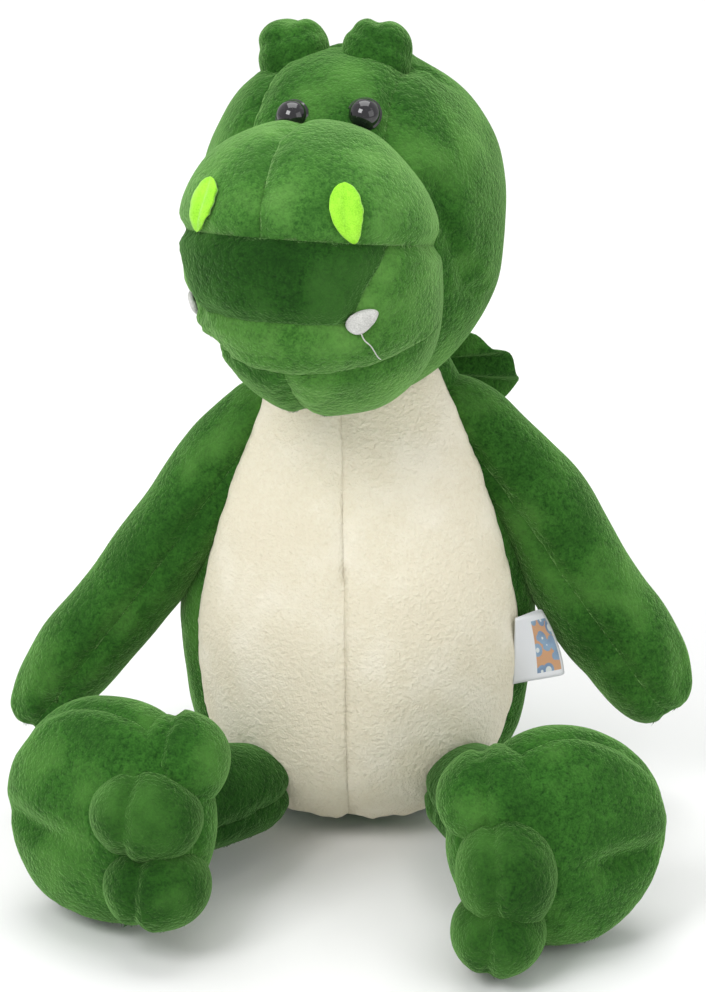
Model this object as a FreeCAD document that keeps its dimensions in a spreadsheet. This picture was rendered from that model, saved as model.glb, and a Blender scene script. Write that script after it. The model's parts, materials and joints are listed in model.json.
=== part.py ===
"""A seated stuffed dinosaur, as the pieces that a toy maker sews, fills and joins.

Every soft form is a tapered capsule: a ball at each end with a tangent cone between them.
Its cloth is a shell of panels turned about the form's axis, and its filling is the solid inside.
Each limb is modelled about the seam that it swings on, and is then placed on the toy.
Millimetres and degrees. The toy faces -Y and sits on Z = 0, so its left is +X.
"""

import FreeCAD, Part
import math
import os
import re

import Sketcher
from FreeCAD import Placement, Rotation, Vector

SIZES = (
    ("fabric", 2.0, "plush cloth with its backing and short pile"),
    ("clearance", 0.4, "room between pieces that move on each other"),
    ("belly_radius", 57.0, "widest part of the body"),
    ("seat_radius", 29.0, "flat seat panel"),
    ("neck_radius", 26.0, "rounded top of the body, which the head sits on"),
    ("neck_height", 140.0, "height of the neck's centre"),
    ("belly_half_angle", 62.0, "from the centre seam to the side seam"),
    ("gusset_from", 18.0, "neck gusset, angle from its axis to its upper edge"),
    ("gusset_to", 50.0, "neck gusset, angle from its axis to its lower edge"),
    ("bag_radius", 30.0, "pellet bag in the seat"),
    ("bag_thickness", 18.0, "pellet bag, top to bottom"),
    ("bag_height", 16.0, "middle of the pellet bag above the seat"),
    ("head_radius", 50.0, "back of the head"),
    ("head_forward", 27.0, "head's centre in front of the neck"),
    ("head_up", 66.0, "head's centre above the neck"),
    ("head_turn", 18.0, "head turned towards the toy's right"),
    ("head_lift", 18.0, "nose lifted"),
    ("head_lean", 2.0, "head leaning towards the toy's right"),
    ("face_half_width", 31.0, "face panel, centre to seam"),
    ("face_depth", 6.0, "face panel's rear edge behind the head's centre"),
    ("muzzle_radius", 38.0, "muzzle"),
    ("muzzle_forward", 47.0, "muzzle's centre in front of the head's"),
    ("muzzle_drop", 10.0, "muzzle's centre below the head's"),
    ("mouth_half_width", 24.0, "mouth panel, centre to seam"),
    ("jaw_radius", 32.0, "lower jaw"),
    ("jaw_forward", 26.0, "jaw's centre in front of the head's"),
    ("jaw_drop", 30.0, "jaw's centre below the head's"),
    ("eye_radius", 6.0, "safety eye's dome"),
    ("eye_shank", 1.7, "radius of the eye's shank"),
    ("shank_length", 13.0, "shank behind the dome"),
    ("washer_radius", 6.5, "locking washer"),
    ("washer_thickness", 1.6, "locking washer"),
    ("eye_spread", 20.0, "angle of each eye from the middle of the face"),
    ("eye_gap", 8.0, "angle between the muzzle's upper edge and the eyes"),
    ("horn_radius", 10.5, "brow horn"),
    ("horn_length", 9.0, "brow horn, from its base ball to its tip ball"),
    ("horn_spread", 13.0, "angle of each horn from upright"),
    ("horn_forward", 9.0, "angle of the horns towards the face"),
    ("nostril_arc", 14.6, "radius of each side of a nostril patch"),
    ("nostril_offset", 9.6, "centre of each side from the patch's middle"),
    ("nostril_spread", 22.0, "nostril patch from the centre seam"),
    ("nostril_rise", 11.0, "nostril patch's middle above the muzzle's centre"),
    ("nostril_felt", 0.8, "thickness of the nostril felt"),
    ("tooth_radius", 4.2, "felt tooth at its root"),
    ("tooth_length", 11.0, "felt tooth"),
    ("shoulder_height", 129.0, "shoulder above the seat"),
    ("arm_root_radius", 8.0, "arm at the shoulder"),
    ("hand_radius", 14.0, "arm at the hand"),
    ("arm_reach", 102.0, "shoulder centre to hand centre"),
    ("arm_out_left", 32.0, "left arm from hanging, outwards"),
    ("arm_out_right", 38.0, "right arm from hanging, outwards"),
    ("arm_forward", 5.0, "arms from hanging, forwards"),
    ("wad_radius", 4.5, "wad of filling in each shoulder"),
    ("hip_round", 37.5, "hip, angle round the belly from its front"),
    ("hip_below", 25.0, "hip, angle below the belly's centre"),
    ("leg_root_radius", 11.0, "leg at the hip"),
    ("ankle_radius", 10.0, "leg at the ankle"),
    ("leg_reach", 36.0, "hip centre to ankle centre"),
    ("leg_out_left", 20.0, "left leg from straight ahead, outwards"),
    ("leg_out_right", 45.0, "right leg from straight ahead, outwards"),
    ("hip_wad_radius", 6.0, "wad of filling in each hip"),
    ("foot_radius", 31.0, "foot pad, to its rim"),
    ("foot_edge", 17.0, "rounding of the foot pad's rim, half its thickness"),
    ("foot_ahead", 21.0, "foot pad's centre beyond the ankle"),
    ("foot_tilt", 8.0, "soles lifted towards the face"),
    ("foot_outwards", 3.0, "foot pad's middle from its leg's line, away from the other foot"),
    ("toe_top_radius", 15.0, "top toe lobe"),
    ("toe_top_in", 5.0, "top toe, towards the other foot"),
    ("toe_top_up", 18.0, "top toe, above the pad's middle"),
    ("toe_middle_radius", 16.0, "middle toe lobe"),
    ("toe_middle_in", 17.0, "middle toe, towards the other foot"),
    ("toe_middle_up", 1.0, "middle toe, above the pad's middle"),
    ("toe_bottom_radius", 13.0, "bottom toe lobe"),
    ("toe_bottom_in", 22.0, "bottom toe, towards the other foot"),
    ("toe_bottom_up", -16.0, "bottom toe, above the pad's middle"),
    ("toe_ahead", 10.0, "toes in front of the middle of the pad"),
    ("tail_root_radius", 12.0, "tail at the body"),
    ("tail_tip_radius", 6.0, "tail at its tip"),
    ("tail_reach", 58.0, "tail, root centre to tip centre"),
    ("tail_below", 31.0, "tail's root, angle below the belly's centre"),
    ("fin_thickness", 5.0, "crest fin"),
    ("fin_width", 40.0, "top crest fin, along the back"),
    ("fin_height", 50.0, "top crest fin, out from the back"),
    ("fin_shrink", 0.72, "each lower fin's size as a share of the one above"),
    ("fin_drop", 4.0, "top fin's root centre below the neck seam"),
    ("fin_pitch", 46.0, "step between fins down the back"),
    ("fin_flop", 74.0, "top fin fallen towards the toy's left"),
    ("fin_lean", 12.0, "lower fins leaning towards the toy's left"),
    ("label_height", 24.0, "satin label, along the side seam"),
    ("label_length", 18.0, "satin label, seam to fold"),
    ("label_ply", 0.5, "thickness of the label's ribbon"),
    ("label_rise", 1.0, "label's middle above the belly's centre"),
    ("label_out", 44.0, "angle of the label off the back's cloth"),
)
ALIASES = {alias for alias, _, _ in SIZES}
NOSE_REACH = "sqrt(muzzle_forward ^ 2 + muzzle_drop ^ 2)"
DERIVED = {
    "belly_centre": "(fabric + sqrt(belly_radius ^ 2 - seat_radius ^ 2))",
    "muzzle_edge": f"(acos((head_radius ^ 2 + {NOSE_REACH} ^ 2 - muzzle_radius ^ 2)"
                   f" / (2 * head_radius * {NOSE_REACH})) - atan(muzzle_drop / muzzle_forward))",
}
SIDES = (("left", 1), ("right", -1))
TOES = ("toe_top", "toe_middle", "toe_bottom")
FINS = ("crest_fin_top", "crest_fin_low")

document = FreeCAD.newDocument("stuffed_dinosaur")
sheet = document.addObject("Spreadsheet::Sheet", "Sizes")
for row, (alias, value, note) in enumerate(SIZES, 1):
    sheet.set(f"A{row}", alias)
    sheet.set(f"B{row}", str(value))
    sheet.setAlias(f"B{row}", alias)
    sheet.set(f"C{row}", note)
document.recompute()
subparts = []


def full(expression):
    """An expression with derived sizes written out and the sheet's name before each alias."""
    for name, meaning in DERIVED.items():
        expression = expression.replace(name, meaning)
    return re.sub(r"[a-z]\w*", lambda m: f"Sizes.{m[0]}" if m[0] in ALIASES else m[0], expression)


def size(expression):
    """The number that an expression in the sheet's aliases has now."""
    found = sheet.evalExpression(full(expression))
    return float(getattr(found, "Value", found))


def bind(thing, **properties):
    """Binds properties of a document object to expressions in the sheet's aliases."""
    for name, expression in properties.items():
        thing.setExpression(name, full(expression))


def centre(thing, x="0", y="0", z="0"):
    """Binds each coordinate of a document object's position that is not plainly 0."""
    for axis, expression in (("x", x), ("y", y), ("z", z)):
        if expression != "0":
            thing.setExpression(f"Placement.Base.{axis}", full(expression))
    return thing


def ball(name, radius, x="0", y="0", z="0"):
    """A sphere, bound to the sheet."""
    made = document.addObject("Part::Sphere", name)
    bind(made, Radius=radius)
    return centre(made, x, y, z)


def post(name, radius, height, x="0", y="0", z="0"):
    """A cylinder that stands on a point, bound to the sheet."""
    made = document.addObject("Part::Cylinder", name)
    bind(made, Radius=radius, Height=height)
    return centre(made, x, y, z)


def block(name, low, high):
    """A box between two corners, each three expressions."""
    made = document.addObject("Part::Box", name)
    bind(made, Length=f"({high[0]}) - ({low[0]})", Width=f"({high[1]}) - ({low[1]})")
    bind(made, Height=f"({high[2]}) - ({low[2]})")
    return centre(made, *low)


def cut(name, base, *tools):
    """base with every tool taken away."""
    for number, tool in enumerate(tools, 1):
        made = document.addObject("Part::Cut", f"{name}_cut{number}")
        made.Base, made.Tool = base, tool
        base = made
    return base


def common(name, *shapes):
    """What all the shapes share."""
    made = document.addObject("Part::MultiCommon", f"{name}_common")
    made.Shapes = list(shapes)
    return made


def joined(name, *shapes):
    """The shapes as one."""
    made = document.addObject("Part::MultiFuse", f"{name}_fuse")
    made.Shapes = list(shapes)
    return made


def keep(label, made, placement=None):
    """Makes a document object a sub-part of the toy, and places it."""
    made.Label = label
    if placement is not None:
        made.Placement = placement.multiply(made.Placement)
    subparts.append(made)
    return made


def start_sketch(name, role):
    """A new PartDesign body, and a sketch on one of its own origin planes."""
    body = document.addObject("PartDesign::Body", name)
    sketch = body.newObject("Sketcher::SketchObject", f"{name}_outline")
    plane = next(f for f in body.Origin.OriginFeatures if f.Role == role)
    sketch.AttachmentSupport = [(plane, "")]
    sketch.MapMode = "FlatFace"
    return body, sketch


def constrain(sketch, expression, *words):
    """Adds a dimension to a sketch and binds it to the sheet."""
    number = sketch.addConstraint(Sketcher.Constraint(*words, size(expression)))
    sketch.setExpression(f"Constraints[{number}]", full(expression))


def revolve(body, sketch, sweep="360"):
    """Turns a sketch about its upright axis."""
    turn = body.newObject("PartDesign::Revolution", f"{body.Name}_turn")
    turn.Profile = sketch
    turn.ReferenceAxis = (sketch, ["V_Axis"])
    bind(turn, Angle=sweep)
    return body


def pad(body, sketch, length):
    """Raises a sketch to a thickness, half to each side."""
    made = body.newObject("PartDesign::Pad", f"{body.Name}_pad")
    made.Profile = sketch
    made.Midplane = True
    bind(made, Length=length)
    return body


def capsule_line(sketch, foot, crown, reach):
    """Draws one side of a tapered capsule up the sketch's upright axis: arc, tangent line, arc."""
    low, top, span = size(foot), size(crown), size(reach)
    slope = math.asin((low - top) / span)
    out = Vector(math.cos(slope), math.sin(slope), 0)
    tip = Vector(0, span, 0)
    normal = Vector(0, 0, 1)
    first = sketch.addGeometry(
        Part.ArcOfCircle(Part.Circle(Vector(), normal, low), -math.pi / 2, slope))
    side = sketch.addGeometry(Part.LineSegment(out * low, tip + out * top))
    last = sketch.addGeometry(
        Part.ArcOfCircle(Part.Circle(tip, normal, top), slope, math.pi / 2))
    sketch.addConstraint([
        Sketcher.Constraint("Coincident", first, 3, -1, 1),
        Sketcher.Constraint("PointOnObject", last, 3, -2),
        Sketcher.Constraint("PointOnObject", first, 1, -2),
        Sketcher.Constraint("PointOnObject", last, 2, -2),
        Sketcher.Constraint("Tangent", first, 2, side, 1),
        Sketcher.Constraint("Tangent", side, 2, last, 1),
    ])
    constrain(sketch, foot, "Radius", first)
    constrain(sketch, crown, "Radius", last)
    constrain(sketch, reach, "DistanceY", -1, 1, last, 3)
    return first, last


def close_line(sketch, one, other):
    """Joins two arc ends on the axis with a line. Each is (arc, its start or end)."""
    ends = [sketch.getPoint(*end) for end in (one, other)]
    line = sketch.addGeometry(Part.LineSegment(*ends))
    sketch.addConstraint([
        Sketcher.Constraint("Coincident", line, 1, *one),
        Sketcher.Constraint("Coincident", line, 2, *other),
    ])


def capsule(name, foot, crown, reach, sweep="360"):
    """A solid tapered capsule up Z, its foot ball at the origin."""
    body, sketch = start_sketch(name, "XZ_Plane")
    first, last = capsule_line(sketch, foot, crown, reach)
    close_line(sketch, (last, 2), (first, 1))
    return revolve(body, sketch, sweep)


def capsule_panel(name, foot, crown, reach, start, sweep):
    """A panel of a tapered capsule's cloth, turned through sweep from start about Z."""
    body, sketch = start_sketch(name, "XZ_Plane")
    first, last = capsule_line(sketch, foot, crown, reach)
    inner, end = capsule_line(sketch, f"{foot} - fabric", f"{crown} - fabric", reach)
    close_line(sketch, (last, 2), (end, 2))
    close_line(sketch, (inner, 1), (first, 1))
    sketch.AttachmentOffset = Placement(Vector(), Rotation(Vector(0, 1, 0), size(start)))
    return revolve(body, sketch, sweep)


def cushion(name, rim, edge):
    """A round cushion about Z with its middle at the origin: rim is its radius, edge its half thickness."""
    body, sketch = start_sketch(name, "XZ_Plane")
    flat, half = size(f"{rim} - ({edge})"), size(edge)
    arc = sketch.addGeometry(Part.ArcOfCircle(
        Part.Circle(Vector(flat, 0, 0), Vector(0, 0, 1), half), -math.pi / 2, math.pi / 2))
    top = sketch.addGeometry(Part.LineSegment(Vector(flat, half, 0), Vector(0, half, 0)))
    axis = sketch.addGeometry(Part.LineSegment(Vector(0, half, 0), Vector(0, -half, 0)))
    base = sketch.addGeometry(Part.LineSegment(Vector(0, -half, 0), Vector(flat, -half, 0)))
    sketch.addConstraint([
        Sketcher.Constraint("Tangent", arc, 2, top, 1),
        Sketcher.Constraint("Coincident", top, 2, axis, 1),
        Sketcher.Constraint("Coincident", axis, 2, base, 1),
        Sketcher.Constraint("Tangent", base, 2, arc, 1),
        Sketcher.Constraint("Horizontal", top),
        Sketcher.Constraint("PointOnObject", axis, 1, -2),
        Sketcher.Constraint("PointOnObject", axis, 2, -2),
        Sketcher.Constraint("PointOnObject", arc, 3, -1),
    ])
    constrain(sketch, edge, "Radius", arc)
    constrain(sketch, f"{rim} - ({edge})", "DistanceX", -1, 1, arc, 3)
    return revolve(body, sketch)


def outline(name, role, points):
    """A body with a closed sketch of straight lines, each corner two expressions."""
    body, sketch = start_sketch(name, role)
    corners = [Vector(size(x), size(y), 0) for x, y in points]
    for number, corner in enumerate(corners):
        after = corners[(number + 1) % len(corners)]
        sketch.addGeometry(Part.LineSegment(corner, after))
    for number, (x, y) in enumerate(points):
        before = (number - 1) % len(points)
        sketch.addConstraint(Sketcher.Constraint("Coincident", before, 2, number, 1))
        constrain(sketch, x, "DistanceX", -1, 1, number, 1)
        constrain(sketch, y, "DistanceY", -1, 1, number, 1)
    return body, sketch


def spun(axis, degrees):
    """A turn about an axis through the origin."""
    return Placement(Vector(), Rotation(axis, degrees))


def at(x, y, z):
    """A move to a point, each coordinate an expression."""
    return Placement(Vector(size(x), size(y), size(z)), Rotation())


X_AXIS, Y_AXIS, Z_AXIS = Vector(1, 0, 0), Vector(0, 1, 0), Vector(0, 0, 1)


def build_body():
    """Belly, back and seat panels, the filling, and the pellet bag in the seat."""
    reach = "neck_height - belly_centre"
    floor = block("floor_cut", ("0 - 200", "0 - 200", "0 - 300"), ("200", "200", "fabric"))
    back_sweep = "180 - belly_half_angle"
    panels = (
        ("belly_panel_left", "0 - 90", "belly_half_angle"),
        ("belly_panel_right", "0 - 90 - belly_half_angle", "belly_half_angle"),
        ("back_panel_left", "belly_half_angle - 90", back_sweep),
        ("back_panel_right", "90", back_sweep),
    )
    for name, start, sweep in panels:
        panel = capsule_panel(f"{name}_cloth", "belly_radius", "neck_radius", reach, start, sweep)
        centre(panel, z="belly_centre")
        keep(name, cut(name, panel, floor))
    keep("seat_panel", post("seat_disc", "seat_radius", "fabric"))
    bag = cushion("pellet_bag_form", "bag_radius", "bag_thickness / 2")
    centre(bag, z="bag_height")
    keep("pellet_bag", bag)
    form = capsule("body_filling", "belly_radius - fabric", "neck_radius - fabric", reach)
    centre(form, z="belly_centre")
    keep("body_stuffing", cut("body_stuffing", form, floor, bag))


def build_neck():
    """The ring of cloth between the body's rounded top and the hollow under the head."""
    inner, outer = "neck_radius + clearance", "neck_radius + clearance + fabric"
    ring = cut("neck_gusset", ball("gusset_outside", outer), ball("gusset_inside", inner))
    zone = document.addObject("Part::Cone", "gusset_zone")
    bind(zone, Height=f"({outer}) * 1.2", Radius1="0.01",
         Radius2=f"({outer}) * 1.2 * tan(gusset_to)")
    hole = document.addObject("Part::Cone", "gusset_hole")
    bind(hole, Height=f"({outer}) * 1.2", Radius1="0.01",
         Radius2=f"({outer}) * 1.2 * tan(gusset_from)")
    kept = cut("neck_gusset_ring", common("neck_gusset", ring, zone), hole)
    keep("neck_gusset", kept, at("0", "0", "neck_height"))


def head_frame():
    """Carries the head from its own frame, about the neck's centre, to its place on the toy."""
    posture = spun(Y_AXIS, -size("head_lean"))
    posture = posture.multiply(spun(Z_AXIS, -size("head_turn")))
    posture = posture.multiply(spun(X_AXIS, -size("head_lift")))
    return at("0", "0", "neck_height").multiply(posture)


def on_head(degrees_aside, degrees_up, distance):
    """Carries a piece that points up Z to a direction from the head's centre, at a distance."""
    aside, up = math.radians(degrees_aside), math.radians(degrees_up)
    way = Vector(math.sin(aside) * math.cos(up), -math.cos(aside) * math.cos(up), math.sin(up))
    middle = Vector(0, -size("head_forward"), size("head_up"))
    return Placement(middle + way * distance, Rotation(Z_AXIS, way))


def build_head():
    """Face, head, muzzle and jaw panels with their filling, eyes, horns, nostrils and teeth."""
    place = head_frame()
    skull = ("0", "0 - head_forward", "head_up")
    nose = ("0", "0 - head_forward - muzzle_forward", "head_up - muzzle_drop")
    chin = ("0", "0 - head_forward - jaw_forward", "head_up - jaw_drop")
    socket = ball("neck_hollow", "neck_radius + fabric + 2 * clearance")
    skull_out = ball("skull_outside", "head_radius", *skull)
    skull_in = ball("skull_inside", "head_radius - fabric", *skull)
    nose_out = ball("nose_outside", "muzzle_radius", *nose)
    nose_in = ball("nose_inside", "muzzle_radius - fabric", *nose)
    chin_out = ball("chin_outside", "jaw_radius", *chin)
    chin_in = ball("chin_inside", "jaw_radius - fabric", *chin)

    eyes, washers, posts = [], [], []
    for side, sign in SIDES:
        way = on_head(sign * size("eye_spread"), size("muzzle_edge") + size("eye_gap"), size("head_radius"))
        eyes.append((f"eye_{side}", build_eye(side), way))
        washer = build_washer(side)
        washer.Placement = way
        washers.append(washer)
        room = post(f"washer_room_{side}", "washer_radius", "shank_length - fabric")
        room.Placement = way.multiply(at("0", "0", "0 - shank_length"))
        hole = post(f"shank_room_{side}", "eye_shank", "shank_length + fabric")
        hole.Placement = way.multiply(at("0", "0", "0 - shank_length"))
        posts.append((room, hole))
    shanks = [hole for _, hole in posts]
    rooms = [room for room, _ in posts]

    shell = cut("skull_shell", skull_out, skull_in, nose_out, chin_out, socket, *shanks)
    face_box = block("face_box",
                     ("0 - face_half_width", "0 - 200", "head_up"),
                     ("face_half_width", "face_depth - head_forward", "400"))
    keep("face_panel", common("face_panel", shell, face_box), place)
    for side, low, high in (("left", "0", "200"), ("right", "0 - 200", "0")):
        half = block(f"head_half_{side}", (low, "0 - 300", "0 - 100"), (high, "200", "400"))
        panel = common(f"head_panel_{side}", shell, half)
        keep(f"head_panel_{side}", cut(f"head_panel_{side}", panel, face_box), place)
    keep("head_stuffing", cut("head_stuffing", skull_in, socket, *rooms), place)

    nose_shell = cut("nose_shell", nose_out, nose_in, skull_out, chin_out)
    seam = "head_up - muzzle_drop"
    for side, low, high in (("left", "0", "100"), ("right", "0 - 100", "0")):
        quarter = block(f"muzzle_top_{side}_box", (low, "0 - 300", seam), (high, "100", "300"))
        keep(f"muzzle_top_{side}", common(f"muzzle_top_{side}", nose_shell, quarter), place)
    mouth_box = block("mouth_box", ("0 - mouth_half_width", "0 - 300", "0 - 50"),
                      ("mouth_half_width", "0 - head_forward - muzzle_forward", seam))
    keep("mouth_panel", common("mouth_panel", nose_shell, mouth_box), place)
    lower = block("lip_box", ("0 - 150", "0 - 300", "0 - 50"), ("150", "100", seam))
    keep("lip_panels", cut("lip_panels", common("lip_panels", nose_shell, lower), mouth_box), place)

    chin_shell = cut("chin_shell", chin_out, chin_in, skull_out, nose_out, socket)
    for side, low, high in (("left", "0", "100"), ("right", "0 - 100", "0")):
        half = block(f"jaw_{side}_box", (low, "0 - 300", "0 - 100"), (high, "100", "200"))
        keep(f"jaw_panel_{side}", common(f"jaw_panel_{side}", chin_shell, half), place)
    snout = joined("snout_stuffing", nose_in, chin_in)
    keep("snout_stuffing", cut("snout_stuffing", snout, skull_in, socket), place)

    for name, eye, way in eyes:
        keep(name, eye, place.multiply(way))
    keep("eye_washers", joined("eye_washers", *washers), place)
    for side, sign in SIDES:
        horn = capsule(f"horn_form_{side}", "horn_radius", "horn_radius * 0.9", "horn_length")
        aside = math.degrees(math.atan2(
            math.tan(math.radians(size("horn_spread"))), math.tan(math.radians(size("horn_forward")))))
        rise = 90 - math.hypot(size("horn_spread"), size("horn_forward"))
        horn.Placement = on_head(sign * aside, rise, size("head_radius"))
        keep(f"horn_{side}", cut(f"horn_{side}", horn, skull_out), place)
    patches = [build_nostril(side, sign, nose) for side, sign in SIDES]
    keep("nostril_patches", joined("nostril_patches", *patches), place)
    fangs = [build_tooth(side, sign, nose_out, chin_out) for side, sign in SIDES]
    keep("teeth", joined("teeth", *fangs), place)


def build_eye(side):
    """A moulded safety eye up Z: a dome whose back lies on the cloth, and its shank below."""
    body, sketch = start_sketch(f"eye_{side}", "XZ_Plane")
    radius, stem, long = size("eye_radius"), size("eye_shank"), size("shank_length")
    arc = sketch.addGeometry(Part.ArcOfCircle(
        Part.Circle(Vector(), Vector(0, 0, 1), radius), 0, math.pi / 2))
    corners = [Vector(0, radius, 0), Vector(0, -long, 0), Vector(stem, -long, 0),
               Vector(stem, 0, 0), Vector(radius, 0, 0)]
    lines = [sketch.addGeometry(Part.LineSegment(a, b)) for a, b in zip(corners, corners[1:])]
    sketch.addConstraint([
        Sketcher.Constraint("Coincident", arc, 3, -1, 1),
        Sketcher.Constraint("Coincident", arc, 2, lines[0], 1),
        Sketcher.Constraint("Coincident", lines[0], 2, lines[1], 1),
        Sketcher.Constraint("Coincident", lines[1], 2, lines[2], 1),
        Sketcher.Constraint("Coincident", lines[2], 2, lines[3], 1),
        Sketcher.Constraint("Coincident", lines[3], 2, arc, 1),
        Sketcher.Constraint("PointOnObject", lines[0], 1, -2),
        Sketcher.Constraint("PointOnObject", lines[0], 2, -2),
        Sketcher.Constraint("Horizontal", lines[1]),
        Sketcher.Constraint("Vertical", lines[2]),
        Sketcher.Constraint("PointOnObject", lines[3], 1, -1),
        Sketcher.Constraint("PointOnObject", lines[3], 2, -1),
    ])
    constrain(sketch, "eye_radius", "Radius", arc)
    constrain(sketch, "eye_shank", "DistanceX", -1, 1, lines[2], 2)
    constrain(sketch, "shank_length", "DistanceY", lines[0], 2, -1, 1)
    return revolve(body, sketch)


def build_washer(side):
    """The washer pressed on a shank inside the head, against the cloth."""
    depth = "0 - fabric - washer_thickness - clearance"
    disc = post(f"washer_disc_{side}", "washer_radius - clearance", "washer_thickness", z=depth)
    return cut(f"washer_{side}", disc, post(f"washer_bore_{side}", "eye_shank", "washer_thickness", z=depth))


def build_nostril(side, sign, nose):
    """A leaf of felt sewn on the muzzle, where two upright cylinders cross."""
    x, y, z = nose
    felt = cut(f"nostril_felt_{side}", ball(f"felt_out_{side}", "muzzle_radius + nostril_felt", x, y, z),
               ball(f"felt_in_{side}", "muzzle_radius", x, y, z))
    leaves = []
    for number, way in enumerate((1, -1), 1):
        rod = post(f"nostril_side_{side}_{number}", "nostril_arc", "muzzle_radius * 2",
                   f"{sign} * nostril_spread + {way} * nostril_offset", y, f"{z} + nostril_rise")
        rod.Placement.Rotation = Rotation(X_AXIS, 90)
        leaves.append(rod)
    return common(f"nostril_{side}", felt, *leaves)


def build_tooth(side, sign, nose_out, chin_out):
    """A small felt fang that hangs from the lower edge of the mouth panel."""
    cone = document.addObject("Part::Cone", f"tooth_form_{side}")
    bind(cone, Radius1="tooth_radius * 0.3", Radius2="tooth_radius", Height="tooth_length")
    drop = "muzzle_radius * 0.78"
    ahead = "sqrt(muzzle_radius ^ 2 - mouth_half_width ^ 2 - (muzzle_radius * 0.55) ^ 2)"
    centre(cone, f"{sign} * mouth_half_width",
           f"0 - head_forward - muzzle_forward - ({ahead})",
           f"head_up - muzzle_drop - {drop}")
    return cut(f"tooth_{side}", cone, nose_out, chin_out)


def beside_body(height, gap):
    """How far from the body's axis a point at a height is, when a gap separates it from the cloth."""
    slope = math.radians(body_slope())
    return (size(f"belly_radius + {gap}") - size(f"{height} - belly_centre") * math.sin(slope)
            ) / math.cos(slope)


def body_slope():
    """How far the body's sides lean in."""
    return size("asin((belly_radius - neck_radius) / (neck_height - belly_centre))")


def beside_belly(round_angle, below_angle, gap):
    """A point round the belly ball from its front, below its centre's level, a gap off its cloth."""
    around, below = math.radians(round_angle), math.radians(below_angle)
    way = Vector(math.sin(around) * math.cos(below), -math.cos(around) * math.cos(below),
                 -math.sin(below))
    return Vector(0, 0, size("belly_centre")) + way * size(f"belly_radius + {gap}")


def arm_frame(side, sign):
    """Carries an arm, which points up Z, to hang from its shoulder."""
    out = size(f"arm_out_{side}")
    swing = spun(X_AXIS, -size("arm_forward")).multiply(spun(Y_AXIS, 180 - sign * out))
    aside = beside_body("shoulder_height", "arm_root_radius + clearance")
    shoulder = Vector(sign * aside, 0, size("shoulder_height"))
    return Placement(shoulder, Rotation()).multiply(swing)


def build_arm(side, sign):
    """One arm: an outer and an inner panel, its filling and the shoulder's wad."""
    place = arm_frame(side, sign)
    radii = ("arm_root_radius", "hand_radius", "arm_reach")
    for name, start in (("outer", f"{sign} * 90"), ("inner", f"0 - {sign} * 90")):
        label = f"arm_{name}_panel_{side}"
        keep(label, capsule_panel(f"{label}_cloth", *radii, start, "180"), place)
    filling = capsule(f"arm_filling_{side}", *[f"{r} - fabric" for r in radii[:2]], radii[2])
    wad_room = ball(f"wad_room_{side}", "wad_radius + clearance")
    keep(f"arm_stuffing_{side}", cut(f"arm_stuffing_{side}", filling, wad_room), place)
    wad = ball(f"wad_{side}", "wad_radius")
    keep(f"shoulder_wad_{side}", wad, place)


def ankle_height():
    """The ankle's height above the seat that sets the foot pad's rim on the floor."""
    return ("(foot_radius - foot_edge) * cos(foot_tilt) + foot_edge"
            " - foot_ahead * sin(foot_tilt)")


def leg_frames(side, sign):
    """The leg's frame about its hip, and the foot's about its ankle, each pointing up Z."""
    hip = beside_belly(sign * size("hip_round"), size("hip_below"), "leg_root_radius + clearance")
    out = math.radians(size(f"leg_out_{side}"))
    rise = size(ankle_height()) - hip.z
    level = math.sqrt(size("leg_reach") ** 2 - rise ** 2)
    way = Vector(sign * math.sin(out) * level, -math.cos(out) * level, rise)
    tilt = math.radians(size("foot_tilt"))
    sole = Vector(sign * math.sin(out) * math.cos(tilt), -math.cos(out) * math.cos(tilt),
                  math.sin(tilt))
    inwards = Vector(-sign * math.cos(out), -math.sin(out), 0)
    foot = Rotation(inwards, sole.cross(inwards), sole, "ZXY")
    return Placement(hip, Rotation(Z_AXIS, way)), Placement(hip + way, foot)


def build_leg(side, sign):
    """One leg: its sleeve and filling, the hip's wad, and the foot with its toes."""
    leg, foot = leg_frames(side, sign)
    radii = ("leg_root_radius", "ankle_radius", "leg_reach")
    for name, start in (("top", "0"), ("under", "180")):
        label = f"leg_{name}_panel_{side}"
        keep(label, capsule_panel(f"{label}_cloth", *radii, start, "180"), leg)
    filling = capsule(f"leg_filling_{side}", *[f"{r} - fabric" for r in radii[:2]], radii[2])
    wad_room = ball(f"hip_room_{side}", "hip_wad_radius + clearance")
    keep(f"leg_stuffing_{side}", cut(f"leg_stuffing_{side}", filling, wad_room), leg)
    keep(f"hip_wad_{side}", ball(f"hip_wad_form_{side}", "hip_wad_radius"), leg)

    pad_out = centre(cushion(f"foot_form_{side}", "foot_radius", "foot_edge"),
                     x="0 - foot_outwards", z="foot_ahead")
    pad_in = centre(cushion(f"foot_inside_{side}", "foot_radius - fabric", "foot_edge - fabric"),
                    x="0 - foot_outwards", z="foot_ahead")
    socket = ball(f"ankle_hole_{side}", "ankle_radius + clearance")
    shell = cut(f"foot_shell_{side}", pad_out, pad_in, socket)
    reach = "foot_radius * 2"
    for name, low, high in (("foot_sole", "foot_ahead", "foot_ahead + foot_radius"),
                            ("foot_upper", "0 - foot_radius", "foot_ahead")):
        side_box = block(f"{name}_box_{side}", (f"0 - {reach}", f"0 - {reach}", low),
                         (reach, reach, high))
        keep(f"{name}_{side}", common(f"{name}_{side}", shell, side_box), foot)
    keep(f"foot_stuffing_{side}", cut(f"foot_stuffing_{side}", pad_in, socket), foot)
    taken = [pad_out]
    for name in TOES:
        toe = ball(f"{name}_form_{side}", f"{name}_radius", f"{name}_in",
                   f"{-sign} * {name}_up", "foot_ahead + toe_ahead")
        keep(f"{name}_{side}", cut(f"{name}_{side}", toe, *taken), foot)
        taken = [pad_out, toe]


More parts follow.
